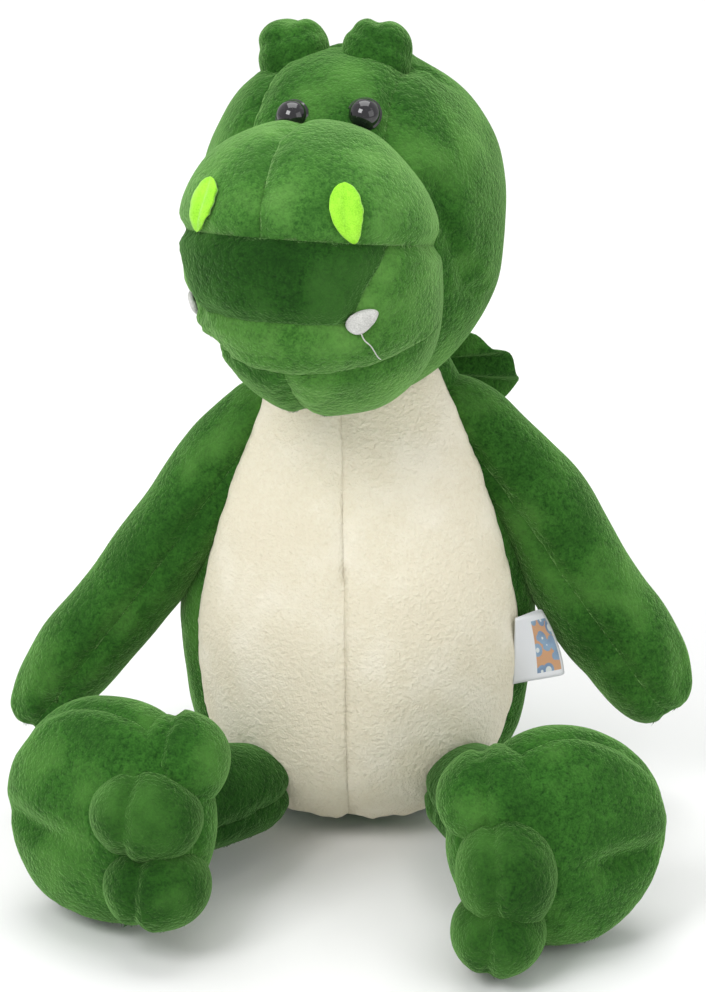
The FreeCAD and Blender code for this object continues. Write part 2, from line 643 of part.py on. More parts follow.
def build_tail():
    """The tail behind the seat: two panels and the filling."""
    root = beside_belly(180, size("tail_below"), "tail_root_radius + clearance")
    drop = math.degrees(math.asin((root.z - size("tail_tip_radius")) / size("tail_reach")))
    place = Placement(root, Rotation()).multiply(spun(X_AXIS, -90 - drop))
    radii = ("tail_root_radius", "tail_tip_radius", "tail_reach")
    for name, start in (("tail_panel_left", "0 - 90"), ("tail_panel_right", "90")):
        keep(name, capsule_panel(f"{name}_cloth", *radii, start, "180"), place)
    filling = capsule("tail_filling", *[f"{r} - fabric" for r in radii[:2]], radii[2])
    keep("tail_stuffing", filling, place)


def build_crest():
    """Rounded fins down the spine. Each is hinged on the back by its root seam."""
    for number, name in enumerate(FINS):
        share = f"fin_shrink ^ {number}"
        body, sketch = start_sketch(name, "XZ_Plane")
        half = size(f"fin_width / 2 * {share}")
        tall = size(f"fin_height * {share}")
        root = size("fin_thickness / 2")
        curve = sketch.addGeometry(Part.Arc(
            Vector(root, -half, 0), Vector(tall, 0, 0), Vector(root, half, 0)))
        line = sketch.addGeometry(Part.LineSegment(Vector(root, half, 0), Vector(root, -half, 0)))
        sketch.addConstraint([
            Sketcher.Constraint("Coincident", curve, 2, line, 1),
            Sketcher.Constraint("Coincident", line, 2, curve, 1),
            Sketcher.Constraint("PointOnObject", curve, 3, -1),
            Sketcher.Constraint("Vertical", line),
        ])
        constrain(sketch, "fin_thickness / 2", "DistanceX", -1, 1, line, 1)
        constrain(sketch, f"fin_width * {share}", "DistanceY", line, 2, line, 1)
        constrain(sketch, f"((fin_height * {share} - fin_thickness / 2) ^ 2"
                  f" + (fin_width / 2 * {share}) ^ 2)"
                  f" / (2 * (fin_height * {share} - fin_thickness / 2))", "Radius", curve)
        pad(body, sketch, "fin_thickness")
        lean = size("fin_flop" if number == 0 else "fin_lean")
        height = f"neck_height - fin_drop - fin_pitch * {number}"
        out = beside_body(height, "fin_thickness * 0.75 + clearance")
        hinge = Placement(Vector(0, out, size(height)), Rotation())
        tilt = spun(X_AXIS, body_slope()).multiply(spun(Z_AXIS, 90 - lean))
        keep(name, body, hinge.multiply(tilt))


def build_label():
    """A satin ribbon folded back on itself, its two ends sewn into the left side seam."""
    ply, long = "label_ply", "label_length"
    heights = ("0", f"0 - {ply}", f"0 - {ply} * 2", f"0 - {ply} * 3")
    fold = f"{long} - {ply}"
    points = (("0", heights[3]), (long, heights[3]), (long, heights[0]), ("0", heights[0]),
              ("0", heights[1]), (fold, heights[1]), (fold, heights[2]), ("0", heights[2]))
    body, sketch = outline("side_label", "XY_Plane", points)
    pad(body, sketch, "label_height")
    seam = math.radians(size("belly_half_angle"))
    out = size("belly_radius + clearance")
    hinge = Vector(out * math.sin(seam), -out * math.cos(seam), size("belly_centre + label_rise"))
    keep("side_label", body, Placement(hinge, Rotation(Z_AXIS, size("belly_half_angle - label_out"))))


build_body()
build_neck()
build_head()
for side, sign in SIDES:
    build_arm(side, sign)
    build_leg(side, sign)
build_tail()
build_crest()
build_label()
document.recompute()

faults = [o.Name for o in document.Objects if {"Invalid", "Error"} & set(o.State)]
faults += [o.Label for o in subparts if o.Shape.isNull() or not o.Shape.isValid()]
if faults:
    raise SystemExit(f"these objects failed: {faults}")
os.makedirs("parts", exist_ok=True)
for made in subparts:
    made.Shape.exportStep(os.path.join("parts", f"{made.Label}.step"))
    print(f"{made.Label}: {len(made.Shape.Solids)} solid, {made.Shape.Volume / 1000:.2f} ml")
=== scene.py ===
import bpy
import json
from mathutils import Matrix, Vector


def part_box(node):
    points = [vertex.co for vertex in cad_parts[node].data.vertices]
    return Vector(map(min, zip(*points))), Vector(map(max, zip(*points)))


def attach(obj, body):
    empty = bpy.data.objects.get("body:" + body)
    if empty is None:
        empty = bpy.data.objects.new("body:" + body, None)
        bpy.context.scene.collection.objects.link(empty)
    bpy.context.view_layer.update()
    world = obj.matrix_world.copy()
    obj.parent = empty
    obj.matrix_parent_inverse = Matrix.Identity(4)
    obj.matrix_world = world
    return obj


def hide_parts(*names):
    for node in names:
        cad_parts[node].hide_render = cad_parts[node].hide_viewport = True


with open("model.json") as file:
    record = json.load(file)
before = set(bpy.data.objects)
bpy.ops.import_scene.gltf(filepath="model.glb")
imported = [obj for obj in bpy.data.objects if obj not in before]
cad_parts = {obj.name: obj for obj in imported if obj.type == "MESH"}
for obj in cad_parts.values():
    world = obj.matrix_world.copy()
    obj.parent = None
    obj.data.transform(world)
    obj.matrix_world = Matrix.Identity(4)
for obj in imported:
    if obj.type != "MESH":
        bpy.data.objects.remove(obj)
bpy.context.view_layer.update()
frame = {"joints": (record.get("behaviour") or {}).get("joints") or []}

"""The look of a seated stuffed dinosaur: plush panels sewn into plump forms, with pile, seams and eyes.

Lengths are in millimetres in the classes and become metres when a mesh is finished.
The toy faces -Y and its own left is +X.
"""

import json
import logging
import math
from collections.abc import Callable, Iterable, Sequence
from dataclasses import dataclass, field, replace
from enum import Enum

import bmesh
import bpy
from mathutils import Matrix, Vector, noise
from mathutils.bvhtree import BVHTree

LOG = logging.getLogger("stuffed_dinosaur")
MM = 0.001
SIDES: tuple[tuple[str, int], ...] = (("left", 1), ("right", -1))
Point = tuple[float, float, float]
Keys = Sequence[tuple[float, ...]]
JOINTS: dict[str, dict] = {joint["name"]: joint for joint in frame["joints"]}


def pivot(name: str) -> Vector:
    """The place of a joint, in millimetres."""
    return Vector(JOINTS[name]["pos_m"]) / MM


def keyed(at: float, keys: Keys) -> list[float]:
    """Reads smoothly between rows of numbers.

    Args:
        at: where to read, in the first column's numbers.
        keys: rows that start with a rising number, followed by the values there.

    Returns:
        The values at that place.
    """
    rows = list(keys)
    if at <= rows[0][0]:
        return list(rows[0][1:])
    if at >= rows[-1][0]:
        return list(rows[-1][1:])
    index = next(i for i in range(len(rows) - 1) if at <= rows[i + 1][0])
    one, two = rows[index], rows[index + 1]
    before = rows[max(index - 1, 0)]
    after = rows[min(index + 2, len(rows) - 1)]
    span = two[0] - one[0]
    share = (at - one[0]) / span
    found = []
    for column in range(1, len(one)):
        rise_in = (two[column] - before[column]) / max(two[0] - before[0], 1e-9) * span
        rise_out = (after[column] - one[column]) / max(after[0] - one[0], 1e-9) * span
        square, cube = share * share, share ** 3
        found.append((2 * cube - 3 * square + 1) * one[column] + (cube - 2 * square + share) * rise_in
                     + (3 * square - 2 * cube) * two[column] + (cube - square) * rise_out)
    return found


def ramp(low: float, high: float, value: float) -> float:
    """0 below low, 1 above high, and smooth between."""
    share = min(max((value - low) / (high - low), 0.0), 1.0)
    return share * share * (3 - 2 * share)


def bell(*offs: float) -> float:
    """1 in the middle, falling smoothly to 0 past an offset of 1 in each direction."""
    return math.exp(-sum(off ** 2 for off in offs))


def put(name: str, data: bpy.types.ID) -> bpy.types.Object:
    """Makes an object and puts it in the scene."""
    made = bpy.data.objects.new(name, data)
    bpy.context.scene.collection.objects.link(made)
    return made


def everywhere(place: Vector) -> float:
    """The full share at any place, for a seam that runs all the way round."""
    return 1.0


def anywhere(place: Vector) -> bool:
    """Takes every place, for the panel that gets what the others leave."""
    return True


class Wire:
    """A shader socket that takes part in sums."""

    def __init__(self, graph: "Graph", socket: bpy.types.NodeSocket) -> None:
        """Keeps the socket and the graph that it is in."""
        self.graph, self.socket = graph, socket

    def _math(self, operation: str, *values: "Wire | float") -> "Wire":
        """Adds a Math node."""
        return self.graph.node("ShaderNodeMath", {"operation": operation}, dict(enumerate(values)))

    def __add__(self, other: "Wire | float") -> "Wire":
        """Sum."""
        return self._math("ADD", self, other)

    def __mul__(self, other: "Wire | float") -> "Wire":
        """Product."""
        return self._math("MULTIPLY", self, other)

    def __rsub__(self, other: float) -> "Wire":
        """Difference from a number."""
        return self._math("SUBTRACT", other, self)

    __radd__, __rmul__ = __add__, __mul__

    def above(self, edge: float) -> "Wire":
        """1 where this is more than edge."""
        return self._math("GREATER_THAN", self, edge)

    def between(self, low: float, high: float) -> "Wire":
        """Stretches low..high to 0..1."""
        return self.graph.node("ShaderNodeMapRange", {"clamp": True},
                               {"Value": self, "From Min": low, "From Max": high})


class Graph:
    """A material's nodes."""

    def __init__(self, name: str) -> None:
        """Starts a material with an output and nothing else."""
        self.material = bpy.data.materials.new(name)
        self.material.use_nodes = True
        self.tree = self.material.node_tree
        self.tree.nodes.clear()
        self.out = self.tree.nodes.new("ShaderNodeOutputMaterial")

    def node(self, kind: str, settings: dict | None = None, sockets: dict | None = None,
             output: int | str = 0) -> Wire:
        """Adds a node.

        Args:
            kind: the node's type.
            settings: its own settings.
            sockets: values or wires for its inputs, by name or number.
            output: which output to return.

        Returns:
            The output's wire.
        """
        made = self.tree.nodes.new(kind)
        for key, value in (settings or {}).items():
            setattr(made, key, value)
        for key, value in (sockets or {}).items():
            if isinstance(value, Wire):
                self.tree.links.new(value.socket, made.inputs[key])
            else:
                made.inputs[key].default_value = value
        return Wire(self, made.outputs[output])

    def place(self) -> Wire:
        """Object coordinates, in metres."""
        return self.node("ShaderNodeTexCoord", output="Object")

    def noise(self, scale: float, detail: float = 2.0, rough: float = 0.5) -> Wire:
        """Cloudy values about 0.5."""
        return self.node("ShaderNodeTexNoise", {}, {"Vector": self.place(), "Scale": scale,
                                                    "Detail": detail, "Roughness": rough}, "Fac")

    def mix(self, share: Wire | float, one: Wire | Point, two: Wire | Point) -> Wire:
        """Mixes two colours."""
        one, two = (colour if isinstance(colour, Wire) else (*colour, 1) for colour in (one, two))
        return self.node("ShaderNodeMix", {"data_type": "RGBA"}, {0: share, 6: one, 7: two}, 2)

    def bump(self, height: Wire, strength: float, distance: float) -> Wire:
        """A normal from a height."""
        return self.node("ShaderNodeBump", {}, {"Height": height, "Strength": strength,
                                                "Distance": distance}, "Normal")

    def finish(self, **sockets: object) -> bpy.types.Material:
        """Puts a Principled shader at the end, its inputs named with _ for a space."""
        shader = self.node("ShaderNodeBsdfPrincipled", {},
                           {key.replace("_", " "): value for key, value in sockets.items()})
        self.tree.links.new(shader.socket, self.out.inputs["Surface"])
        return self.material


@dataclass(frozen=True)
class Plush:
    """Short pile on a knitted back, dark where one looks into it and light where it is seen from its side."""

    name: str
    deep: Point
    pile: Point
    tips: Point
    rim: Point
    slot: str
    sheen: float = 0.7

    def material(self) -> bpy.types.Material:
        """The finish as a material."""
        graph = Graph(self.name)
        strands = graph.noise(1600.0, 2.0, 0.6)
        tufts = graph.noise(620.0, 2.0, 0.6)
        lay = graph.noise(42.0, 2.5, 0.55)
        depth = (strands * 0.5 + tufts * 0.5).between(0.34, 0.60)
        colour = graph.mix(depth, self.deep, self.pile)
        colour = graph.mix(lay.between(0.50, 0.68) * 0.55, colour, self.tips)
        colour = graph.mix((1.0 - lay.between(0.34, 0.50)) * 0.45, colour, self.deep)
        return graph.finish(
            Base_Color=colour, Roughness=(depth * 0.1 + 0.85), Normal=graph.bump(strands * 0.4 + tufts, 0.8, 0.0010),
            Sheen_Weight=self.sheen, Sheen_Roughness=0.42, Sheen_Tint=(*self.rim, 1), Specular_IOR_Level=0.1)


@dataclass(frozen=True)
class Felt:
    """Pressed fibres, with a fuzzy even face."""

    name: str
    low: Point
    high: Point
    slot: str

    def material(self) -> bpy.types.Material:
        """The finish as a material."""
        graph = Graph(self.name)
        fibres = graph.noise(2400.0, 4.0, 0.7)
        patches = graph.noise(260.0, 2.0)
        colour = graph.mix((fibres * 0.7 + patches * 0.3).between(0.35, 0.62), self.low, self.high)
        return graph.finish(Base_Color=colour, Roughness=0.85 + fibres * 0.1,
                            Normal=graph.bump(fibres + patches, 0.6, 0.0004),
                            Sheen_Weight=0.3, Sheen_Roughness=0.4, Specular_IOR_Level=0.2)


@dataclass(frozen=True)
class Moulded:
    """Hard polished plastic with faint waviness and a little dust."""

    name: str
    colour: Point
    slot: str
    roughness: float = 0.06

    def material(self) -> bpy.types.Material:
        """The finish as a material."""
        graph = Graph(self.name)
        dust = graph.noise(900.0, 4.0, 0.7).between(0.60, 0.78)
        wave = graph.noise(160.0, 1.0)
        colour = graph.mix(dust * 0.25, self.colour, (0.35, 0.34, 0.33))
        return graph.finish(Base_Color=colour, Roughness=self.roughness + dust * 0.35,
                            Normal=graph.bump(wave, 0.15, 0.0003), Coat_Weight=0.6, Coat_Roughness=0.03)


@dataclass(frozen=True)
class Satin:
    """Woven ribbon with a printed band of plain marks, read from the piece's own UV map."""

    name: str
    slot: str

    def material(self) -> bpy.types.Material:
        """The finish as a material."""
        graph = Graph(self.name)
        flat = graph.node("ShaderNodeUVMap")
        parts = graph.node("ShaderNodeSeparateXYZ", {}, {0: flat})
        across = Wire(graph, parts.socket.node.outputs[1])
        threads = graph.node("ShaderNodeTexWave", {"bands_direction": "X"},
                             {"Vector": flat, "Scale": 60.0, "Distortion": 1.0, "Detail": 2.0}, "Fac")
        rows = graph.node("ShaderNodeTexWave", {"bands_direction": "Y"},
                          {"Vector": flat, "Scale": 34.0, "Distortion": 0.6, "Detail": 2.0}, "Fac")
        band = parts.above(0.44) * (1 - parts.above(0.93)) * across.above(0.10) * (1 - across.above(0.90))
        marks = graph.node("ShaderNodeTexVoronoi", {}, {"Vector": flat, "Scale": 5.0,
                                                        "Randomness": 0.75}, "Distance")
        cloud = graph.noise(120.0, 3.0)
        ground = graph.mix(cloud.between(0.35, 0.6), (0.11, 0.20, 0.36), (0.22, 0.36, 0.52))
        printed = graph.mix(1 - marks.above(0.30), ground, (0.70, 0.74, 0.72))
        printed = graph.mix(marks.above(0.56), printed, (0.62, 0.30, 0.12))
        white = graph.mix(threads * 0.35, (0.80, 0.81, 0.84), (0.93, 0.93, 0.95))
        colour = graph.mix(band * 0.92, white, printed)
        return graph.finish(Base_Color=colour, Roughness=0.36 + rows * 0.14,
                            Normal=graph.bump(threads + rows, 0.35, 0.0002), Sheen_Weight=0.15)


GREEN = Plush("green_plush", (0.008, 0.048, 0.005), (0.036, 0.142, 0.018), (0.090, 0.245, 0.044), (0.42, 0.78, 0.26),
              "green_plush")
DEEP_GREEN = Plush("dark_green_plush", (0.006, 0.034, 0.004), (0.019, 0.084, 0.010), (0.044, 0.140, 0.024),
                   (0.26, 0.52, 0.17), "dark_green_plush")
PALE_GREEN = Plush("light_green_plush", (0.018, 0.080, 0.010), (0.062, 0.200, 0.030), (0.135, 0.320, 0.068),
                   (0.50, 0.85, 0.32), "light_green_plush")
CREAM = Plush("cream_plush", (0.78, 0.71, 0.55), (0.83, 0.775, 0.62), (0.90, 0.85, 0.72), (0.92, 0.88, 0.76),
              "cream_plush", 0.2)
CREST = Plush("crest_plush", (0.008, 0.046, 0.005), (0.036, 0.142, 0.018), (0.085, 0.235, 0.042), (0.36, 0.68, 0.22),
              "dark_green_plush", 0.5)
# Painted highlight: a lighter copy of the green plush for the muzzle's top, where the light falls on it.
PAINTED_LIT_GREEN = Plush("painted_lit_green_plush", (0.020, 0.088, 0.012), (0.068, 0.215, 0.034), (0.140, 0.330, 0.072),
                (0.50, 0.85, 0.32), "green_plush")
# Painted shade: the darker green plush colours on the light green jaw fabric, for shade under the snout.
SHADED_JAW_GREEN = replace(GREEN, name="shaded_jaw_green_plush", slot="light_green_plush")
# Painted shade: a darker copy of the green plush for the middle and bottom toes.
SHADED_TOE_GREEN = Plush("shaded_toe_green_plush", (0.006, 0.036, 0.004), (0.022, 0.092, 0.011), (0.060, 0.180, 0.030),
               (0.36, 0.68, 0.22), "green_plush")
LIME = Felt("lime_felt", (0.22, 0.62, 0.02), (0.42, 0.90, 0.06), "lime_felt")
WHITE_FELT = Felt("white_felt", (0.42, 0.42, 0.40), (0.70, 0.70, 0.67), "white_felt")
BLACK = Moulded("black_plastic", (0.006, 0.005, 0.008), "black_plastic")
WASHER = Moulded("washer_plastic", (0.55, 0.55, 0.52), "washer_plastic", 0.35)
RIBBON = Satin("satin_ribbon", "satin_ribbon")


CHILDREN, QUICK_CHILDREN, FEWEST_PARENTS = 12, 4, 20
STAND, UNRULY = 0.55, 0.30
COMB: Point = (0.0, 0.0, -0.85)
STRAND_RADIUS = 0.17
STRAND_SPREAD = 1.5
SLIVER = 0.01
FLOOR_GAP = 0.6
LINE_STEP = 0.02
PUCKER_REACH = 2.6


class Nap(Enum):
    """How a panel's pile is cut: its length in millimetres and its strands on a square millimetre."""

    BODY = (3.4, 1.5)
    BELLY = (3.0, 1.6)
    FACE = (3.0, 1.7)
    NONE = (0.0, 0.0)


@dataclass
class Seam:
    """A sewn line where a plane meets a form: the cloth dips towards it and puckers."""

    point: Point
    normal: Point
    where: Callable[[Vector], float] = everywhere
    depth: float = 2.2
    width: float = 3.6
    pucker: float = 0.5

    def past(self, place: Vector) -> bool:
        """Whether a place is on the side that the normal points to."""
        return (place - Vector(self.point)).dot(Vector(self.normal)) > 0

    def dip(self, place: Vector) -> float:
        """How far the cloth is drawn in at a place, in millimetres."""
        off = abs((place - Vector(self.point)).dot(Vector(self.normal).normalized()))
        if off > self.width * 5:
            return 0.0
        near = bell(off / self.width)
        wide = bell(off / (self.width * PUCKER_REACH))
        crumple = noise.noise(place * 0.16) * 1.6 + noise.noise(place * 0.34 + Vector((9, 2, 5)))
        return self.where(place) * (self.depth * near + self.pucker * 0.6 * wide * crumple)


@dataclass
class Form:
    """A plump closed form, swept along a bent line with changing width and depth."""

    line: Keys
    girth: Keys
    front: Point = (0.0, -1.0, 0.0)
    blunt: float = 2.4
    around: int = 112
    rows: int = 80
    seams: list[Seam] = field(default_factory=list)
    lumps: float = 0.7
    seed: float = 0.0
    shape: Callable[[Vector, float, float], Vector] | None = None
    panels: dict[str, Callable[[Vector], bool]] = field(default_factory=dict)

    def surface(self, share: float, angle: float, radius: float) -> Vector:
        """A point of the form before its seams are drawn in."""
        centre = Vector(keyed(share, self.line))
        ahead = Vector(keyed(min(share + LINE_STEP, 1.0), self.line))
        ahead -= Vector(keyed(max(share - LINE_STEP, 0.0), self.line))
        ahead.normalize()
        depth_way = Vector(self.front)
        depth_way = (depth_way - ahead * depth_way.dot(ahead)).normalized()
        width_way = ahead.cross(depth_way)
        width, depth = keyed(share, self.girth)
        place = centre + (width_way * math.cos(angle) * width + depth_way * math.sin(angle) * depth) * radius
        return self.shape(place, share, angle) if self.shape else place

    def build(self) -> bmesh.types.BMesh:
        """Shapes a ball into the form, cuts its seams and draws them in."""
        bm = bmesh.new()
        bmesh.ops.create_uvsphere(bm, u_segments=self.around, v_segments=self.rows, radius=1.0)
        for vert in bm.verts:
            high = min(max(vert.co.z, -1.0), 1.0)
            radius = max(1 - abs(high) ** self.blunt, 0.0) ** (1 / self.blunt)
            vert.co = self.surface((1 + high) / 2, math.atan2(vert.co.y, vert.co.x), radius)
        outward(bm)
        for seam in self.seams:
            bmesh.ops.bisect_plane(bm, geom=bm.verts[:] + bm.edges[:] + bm.faces[:], dist=0.05,
                                   plane_co=seam.point, plane_no=Vector(seam.normal).normalized())
        layer = bm.faces.layers.int.new("panel")
        for face in bm.faces:
            middle = face.calc_center_median()
            face[layer] = next((i for i, test in enumerate(self.panels.values()) if test(middle)), -1)
        bm.normal_update()
        shift = Vector((self.seed, self.seed * 1.7, -self.seed))
        moves = []
        for vert in bm.verts:
            inward = sum(seam.dip(vert.co) for seam in self.seams)
            lump = noise.noise(vert.co * 0.035 + shift) + 0.25 * noise.noise(vert.co * 0.08 + shift)
            moves.append(vert.normal * (self.lumps * lump - inward))
        for vert, move in zip(bm.verts, moves):
            vert.co += move
        return bm


@dataclass
class Piece:
    """One finished piece of cloth, felt or plastic."""

    name: str
    body: str
    finish: Plush | Felt | Moulded | Satin
    nodes: tuple[str, ...]
    nap: Nap = Nap.NONE
    thick: float = 1.2
    fill: float | None = None

    def make(self, bm: bmesh.types.BMesh, place: Matrix | None = None) -> bpy.types.Object:
        """Turns a shaped mesh into the piece and tells the frame about it.

        Sliver faces are taken out first: a strand that starts on one ends up at the object's origin.

        Args:
            bm: the mesh, in millimetres. It is freed.
            place: where it goes, or None where it is in place.

        Returns:
            The piece's object.
        """
        bmesh.ops.dissolve_degenerate(bm, dist=SLIVER, edges=bm.edges[:])
        bmesh.ops.triangulate(bm, faces=[face for face in bm.faces if len(face.verts) > 4])
        if place is not None:
            bmesh.ops.transform(bm, matrix=place, verts=bm.verts[:])
        bmesh.ops.scale(bm, vec=(MM, MM, MM), verts=bm.verts[:])
        mesh = bpy.data.meshes.new(self.name)
        bm.to_mesh(mesh)
        bm.free()
        mesh.polygons.foreach_set("use_smooth", [True] * len(mesh.polygons))
        made = put(self.name, mesh)
        mesh.materials.append(material_of(self.finish))
        if self.thick:
            wall = made.modifiers.new("cloth", "SOLIDIFY")
            wall.thickness, wall.offset = self.thick * MM, -1.0
            wall.use_even_offset = False
        if self.nap is not Nap.NONE:
            self.grow(made)
        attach(made, self.body)
        if self.nodes:
            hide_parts(*self.nodes)
        LOG.info("%s: %d faces on %s", self.name, len(mesh.polygons), self.body)
        return made

    def grow(self, made: bpy.types.Object) -> None:
        """Sets the pile on the cloth as short strands."""
        length, close = self.nap.value
        area = sum(face.area for face in made.data.polygons) / MM ** 2
        made.modifiers.new("pile", "PARTICLE_SYSTEM")
        system = made.particle_systems[-1]
        system.seed = sum(map(ord, self.name)) % 997
        pile = system.settings
        pile.type = "HAIR"
        pile.use_advanced_hair = True
        pile.count = max(int(area * close / CHILDREN), FEWEST_PARENTS)
        pile.hair_step = 2
        pile.render_step = pile.display_step = 2
        pile.use_modifier_stack = False
        pull = length * MM / 4
        pile.normal_factor = pull * STAND
        pile.object_align_factor = Vector(COMB) * pull
        pile.factor_random = pull * UNRULY
        pile.child_type = "SIMPLE"
        pile.rendered_child_count = CHILDREN
        pile.child_percent = 1
        pile.child_radius = STRAND_SPREAD * MM
        pile.clump_factor = 0.45
        pile.child_length = 1.0
        pile.roughness_2 = 0.25 * MM * length
        pile.roughness_endpoint = 0.35 * MM * length
        pile.root_radius, pile.tip_radius = 1.0, 0.35
        pile.radius_scale = STRAND_RADIUS * MM
        pile.material = 1


_MATERIALS: dict[str, bpy.types.Material] = {}


def material_of(finish: Plush | Felt | Moulded | Satin) -> bpy.types.Material:
    """The finish's material, made once."""
    if finish.name not in _MATERIALS:
        _MATERIALS[finish.name] = finish.material()
    return _MATERIALS[finish.name]


def outward(bm: bmesh.types.BMesh) -> None:
    """Turns every face outwards."""
    bm.normal_update()
    bmesh.ops.recalc_face_normals(bm, faces=bm.faces[:])


def parts_of(bm: bmesh.types.BMesh, names: Iterable[str], hidden: Callable[[Vector], bool] = lambda place: False
             ) -> dict[str, bmesh.types.BMesh]:
    """Parts a form into its panels.

    Args:
        bm: the form. It is freed.
        names: the panels' names, in the order that the form holds them.
        hidden: says which places are deep in another form, where no cloth is kept.

    Returns:
        Each panel's mesh by its name.
    """
    found = {}
    for index, name in enumerate(names):
        copy = bm.copy()
        copy_layer = copy.faces.layers.int["panel"]
        gone = [face for face in copy.faces if face[copy_layer] != index or hidden(face.calc_center_median())]
        bmesh.ops.delete(copy, geom=gone, context="FACES")
        found[name] = copy
    bm.free()
    return found


def above_floor(bm: bmesh.types.BMesh, gap: float = FLOOR_GAP) -> None:
    """Lifts what would go through the floor."""
    for vert in bm.verts:
        vert.co.z = max(vert.co.z, gap)


Look = tuple[Plush, Nap]


def sew(parts: dict[str, bmesh.types.BMesh], body: str, fill: float, fillings: dict[str, tuple[str, ...]],
        looks: dict[str, Look] | None = None, usual: Look = (GREEN, Nap.BODY), place: Matrix | None = None) -> None:
    """Makes a padded piece of each panel.

    Args:
        parts: each panel's mesh by its node.
        body: the body that the panels ride on.
        fill: how firmly they are filled; it is kept on each piece but not used.
        fillings: the hidden nodes that go with a panel, by its node.
        looks: the finish and nap of each panel that differs from the usual.
        usual: the finish and nap of the others.
        place: where they go, or None where they are in place.
    """
    for node, part in parts.items():
        finish, nap = (looks or {}).get(node, usual)
        Piece(f"{node}_cloth", body, finish, (node, *fillings.get(node, ())), nap, fill=fill).make(part, place)


def wad(node: str, body: str, middle: Vector, radius: float, rough: float, grain: float) -> None:
    """A hidden tuft of filling at a joint."""
    bm = bmesh.new()
    bmesh.ops.create_icosphere(bm, subdivisions=3, radius=radius)
    for vert in bm.verts:
        vert.co *= 1 + rough * noise.noise(vert.co * grain)
    Piece(f"{node}_fibre", body, WHITE_FELT, (node,), thick=0).make(bm, Matrix.Translation(middle))


@dataclass
class Body:
    """Belly, back and seat panels sewn into one pear-shaped form."""

    girth: Keys = ((0.0, 48.0, 47.0), (0.12, 55.0, 54.0), (0.27, 57.6, 56.5), (0.42, 57.0, 55.5),
                   (0.57, 51.5, 50.0), (0.72, 44.0, 41.5), (0.84, 37.5, 34.0), (0.93, 34.5, 32.0), (1.0, 30.0, 29.0))
    line: Keys = ((0.0, 1.0, 1.0, 0.0), (0.35, 1.0, -1.0, 58.0), (0.7, 0.5, 1.0, 117.0), (1.0, 0.0, 2.0, 167.0))

    def __post_init__(self) -> None:
        """Lays out the seams."""
        front = lambda p: ramp(-5, 5, -p.y)
        self.side = Seam((0, -20, 60), (0, 1, -0.14), everywhere, 2.8, 4.0, 0.7)
        self.under = Seam((0, -35, 1), (0, -1.0, 1), lambda p: ramp(-4, 4, -p.y - 20), 2.2, 3.6, 0.6)
        self.centre = Seam((-2.0, 0, 0), (1, 0, 0.018), lambda p: front(p) + 0.8 * (1 - front(p)), 1.5, 2.6, 0.4)
        self.seat = Seam((0, 0, 2.0), (0, 0, 1), everywhere, 1.0, 2.0)

    def build(self) -> None:
        """Makes the body's pieces."""
        seams = [self.side, self.under, self.centre, self.seat]
        belly = lambda p: not self.side.past(p) and self.under.past(p)
        left, low = self.centre.past, lambda p: p.z < 2.0
        panels = {
            "belly_panel_left": lambda p: belly(p) and left(p),
            "belly_panel_right": belly,
            "seat_panel": low,
            "back_panel_left": left,
            "back_panel_right": anywhere,
        }
        looks = {"belly_panel_left": (CREAM, Nap.BELLY), "belly_panel_right": (CREAM, Nap.BELLY),
                 "seat_panel": (GREEN, Nap.NONE)}
        bm = Form(self.line, self.girth, blunt=4.0, around=144, rows=110, seams=seams, lumps=1.2,
                  panels=panels).build()
        for vert in bm.verts:
            vert.co.z = max(vert.co.z, 0.4 + 0.15 * noise.noise(vert.co * 0.2))
        sew(parts_of(bm, panels), "body", 0.8, {"back_panel_left": ("body_stuffing", "pellet_bag")}, looks)


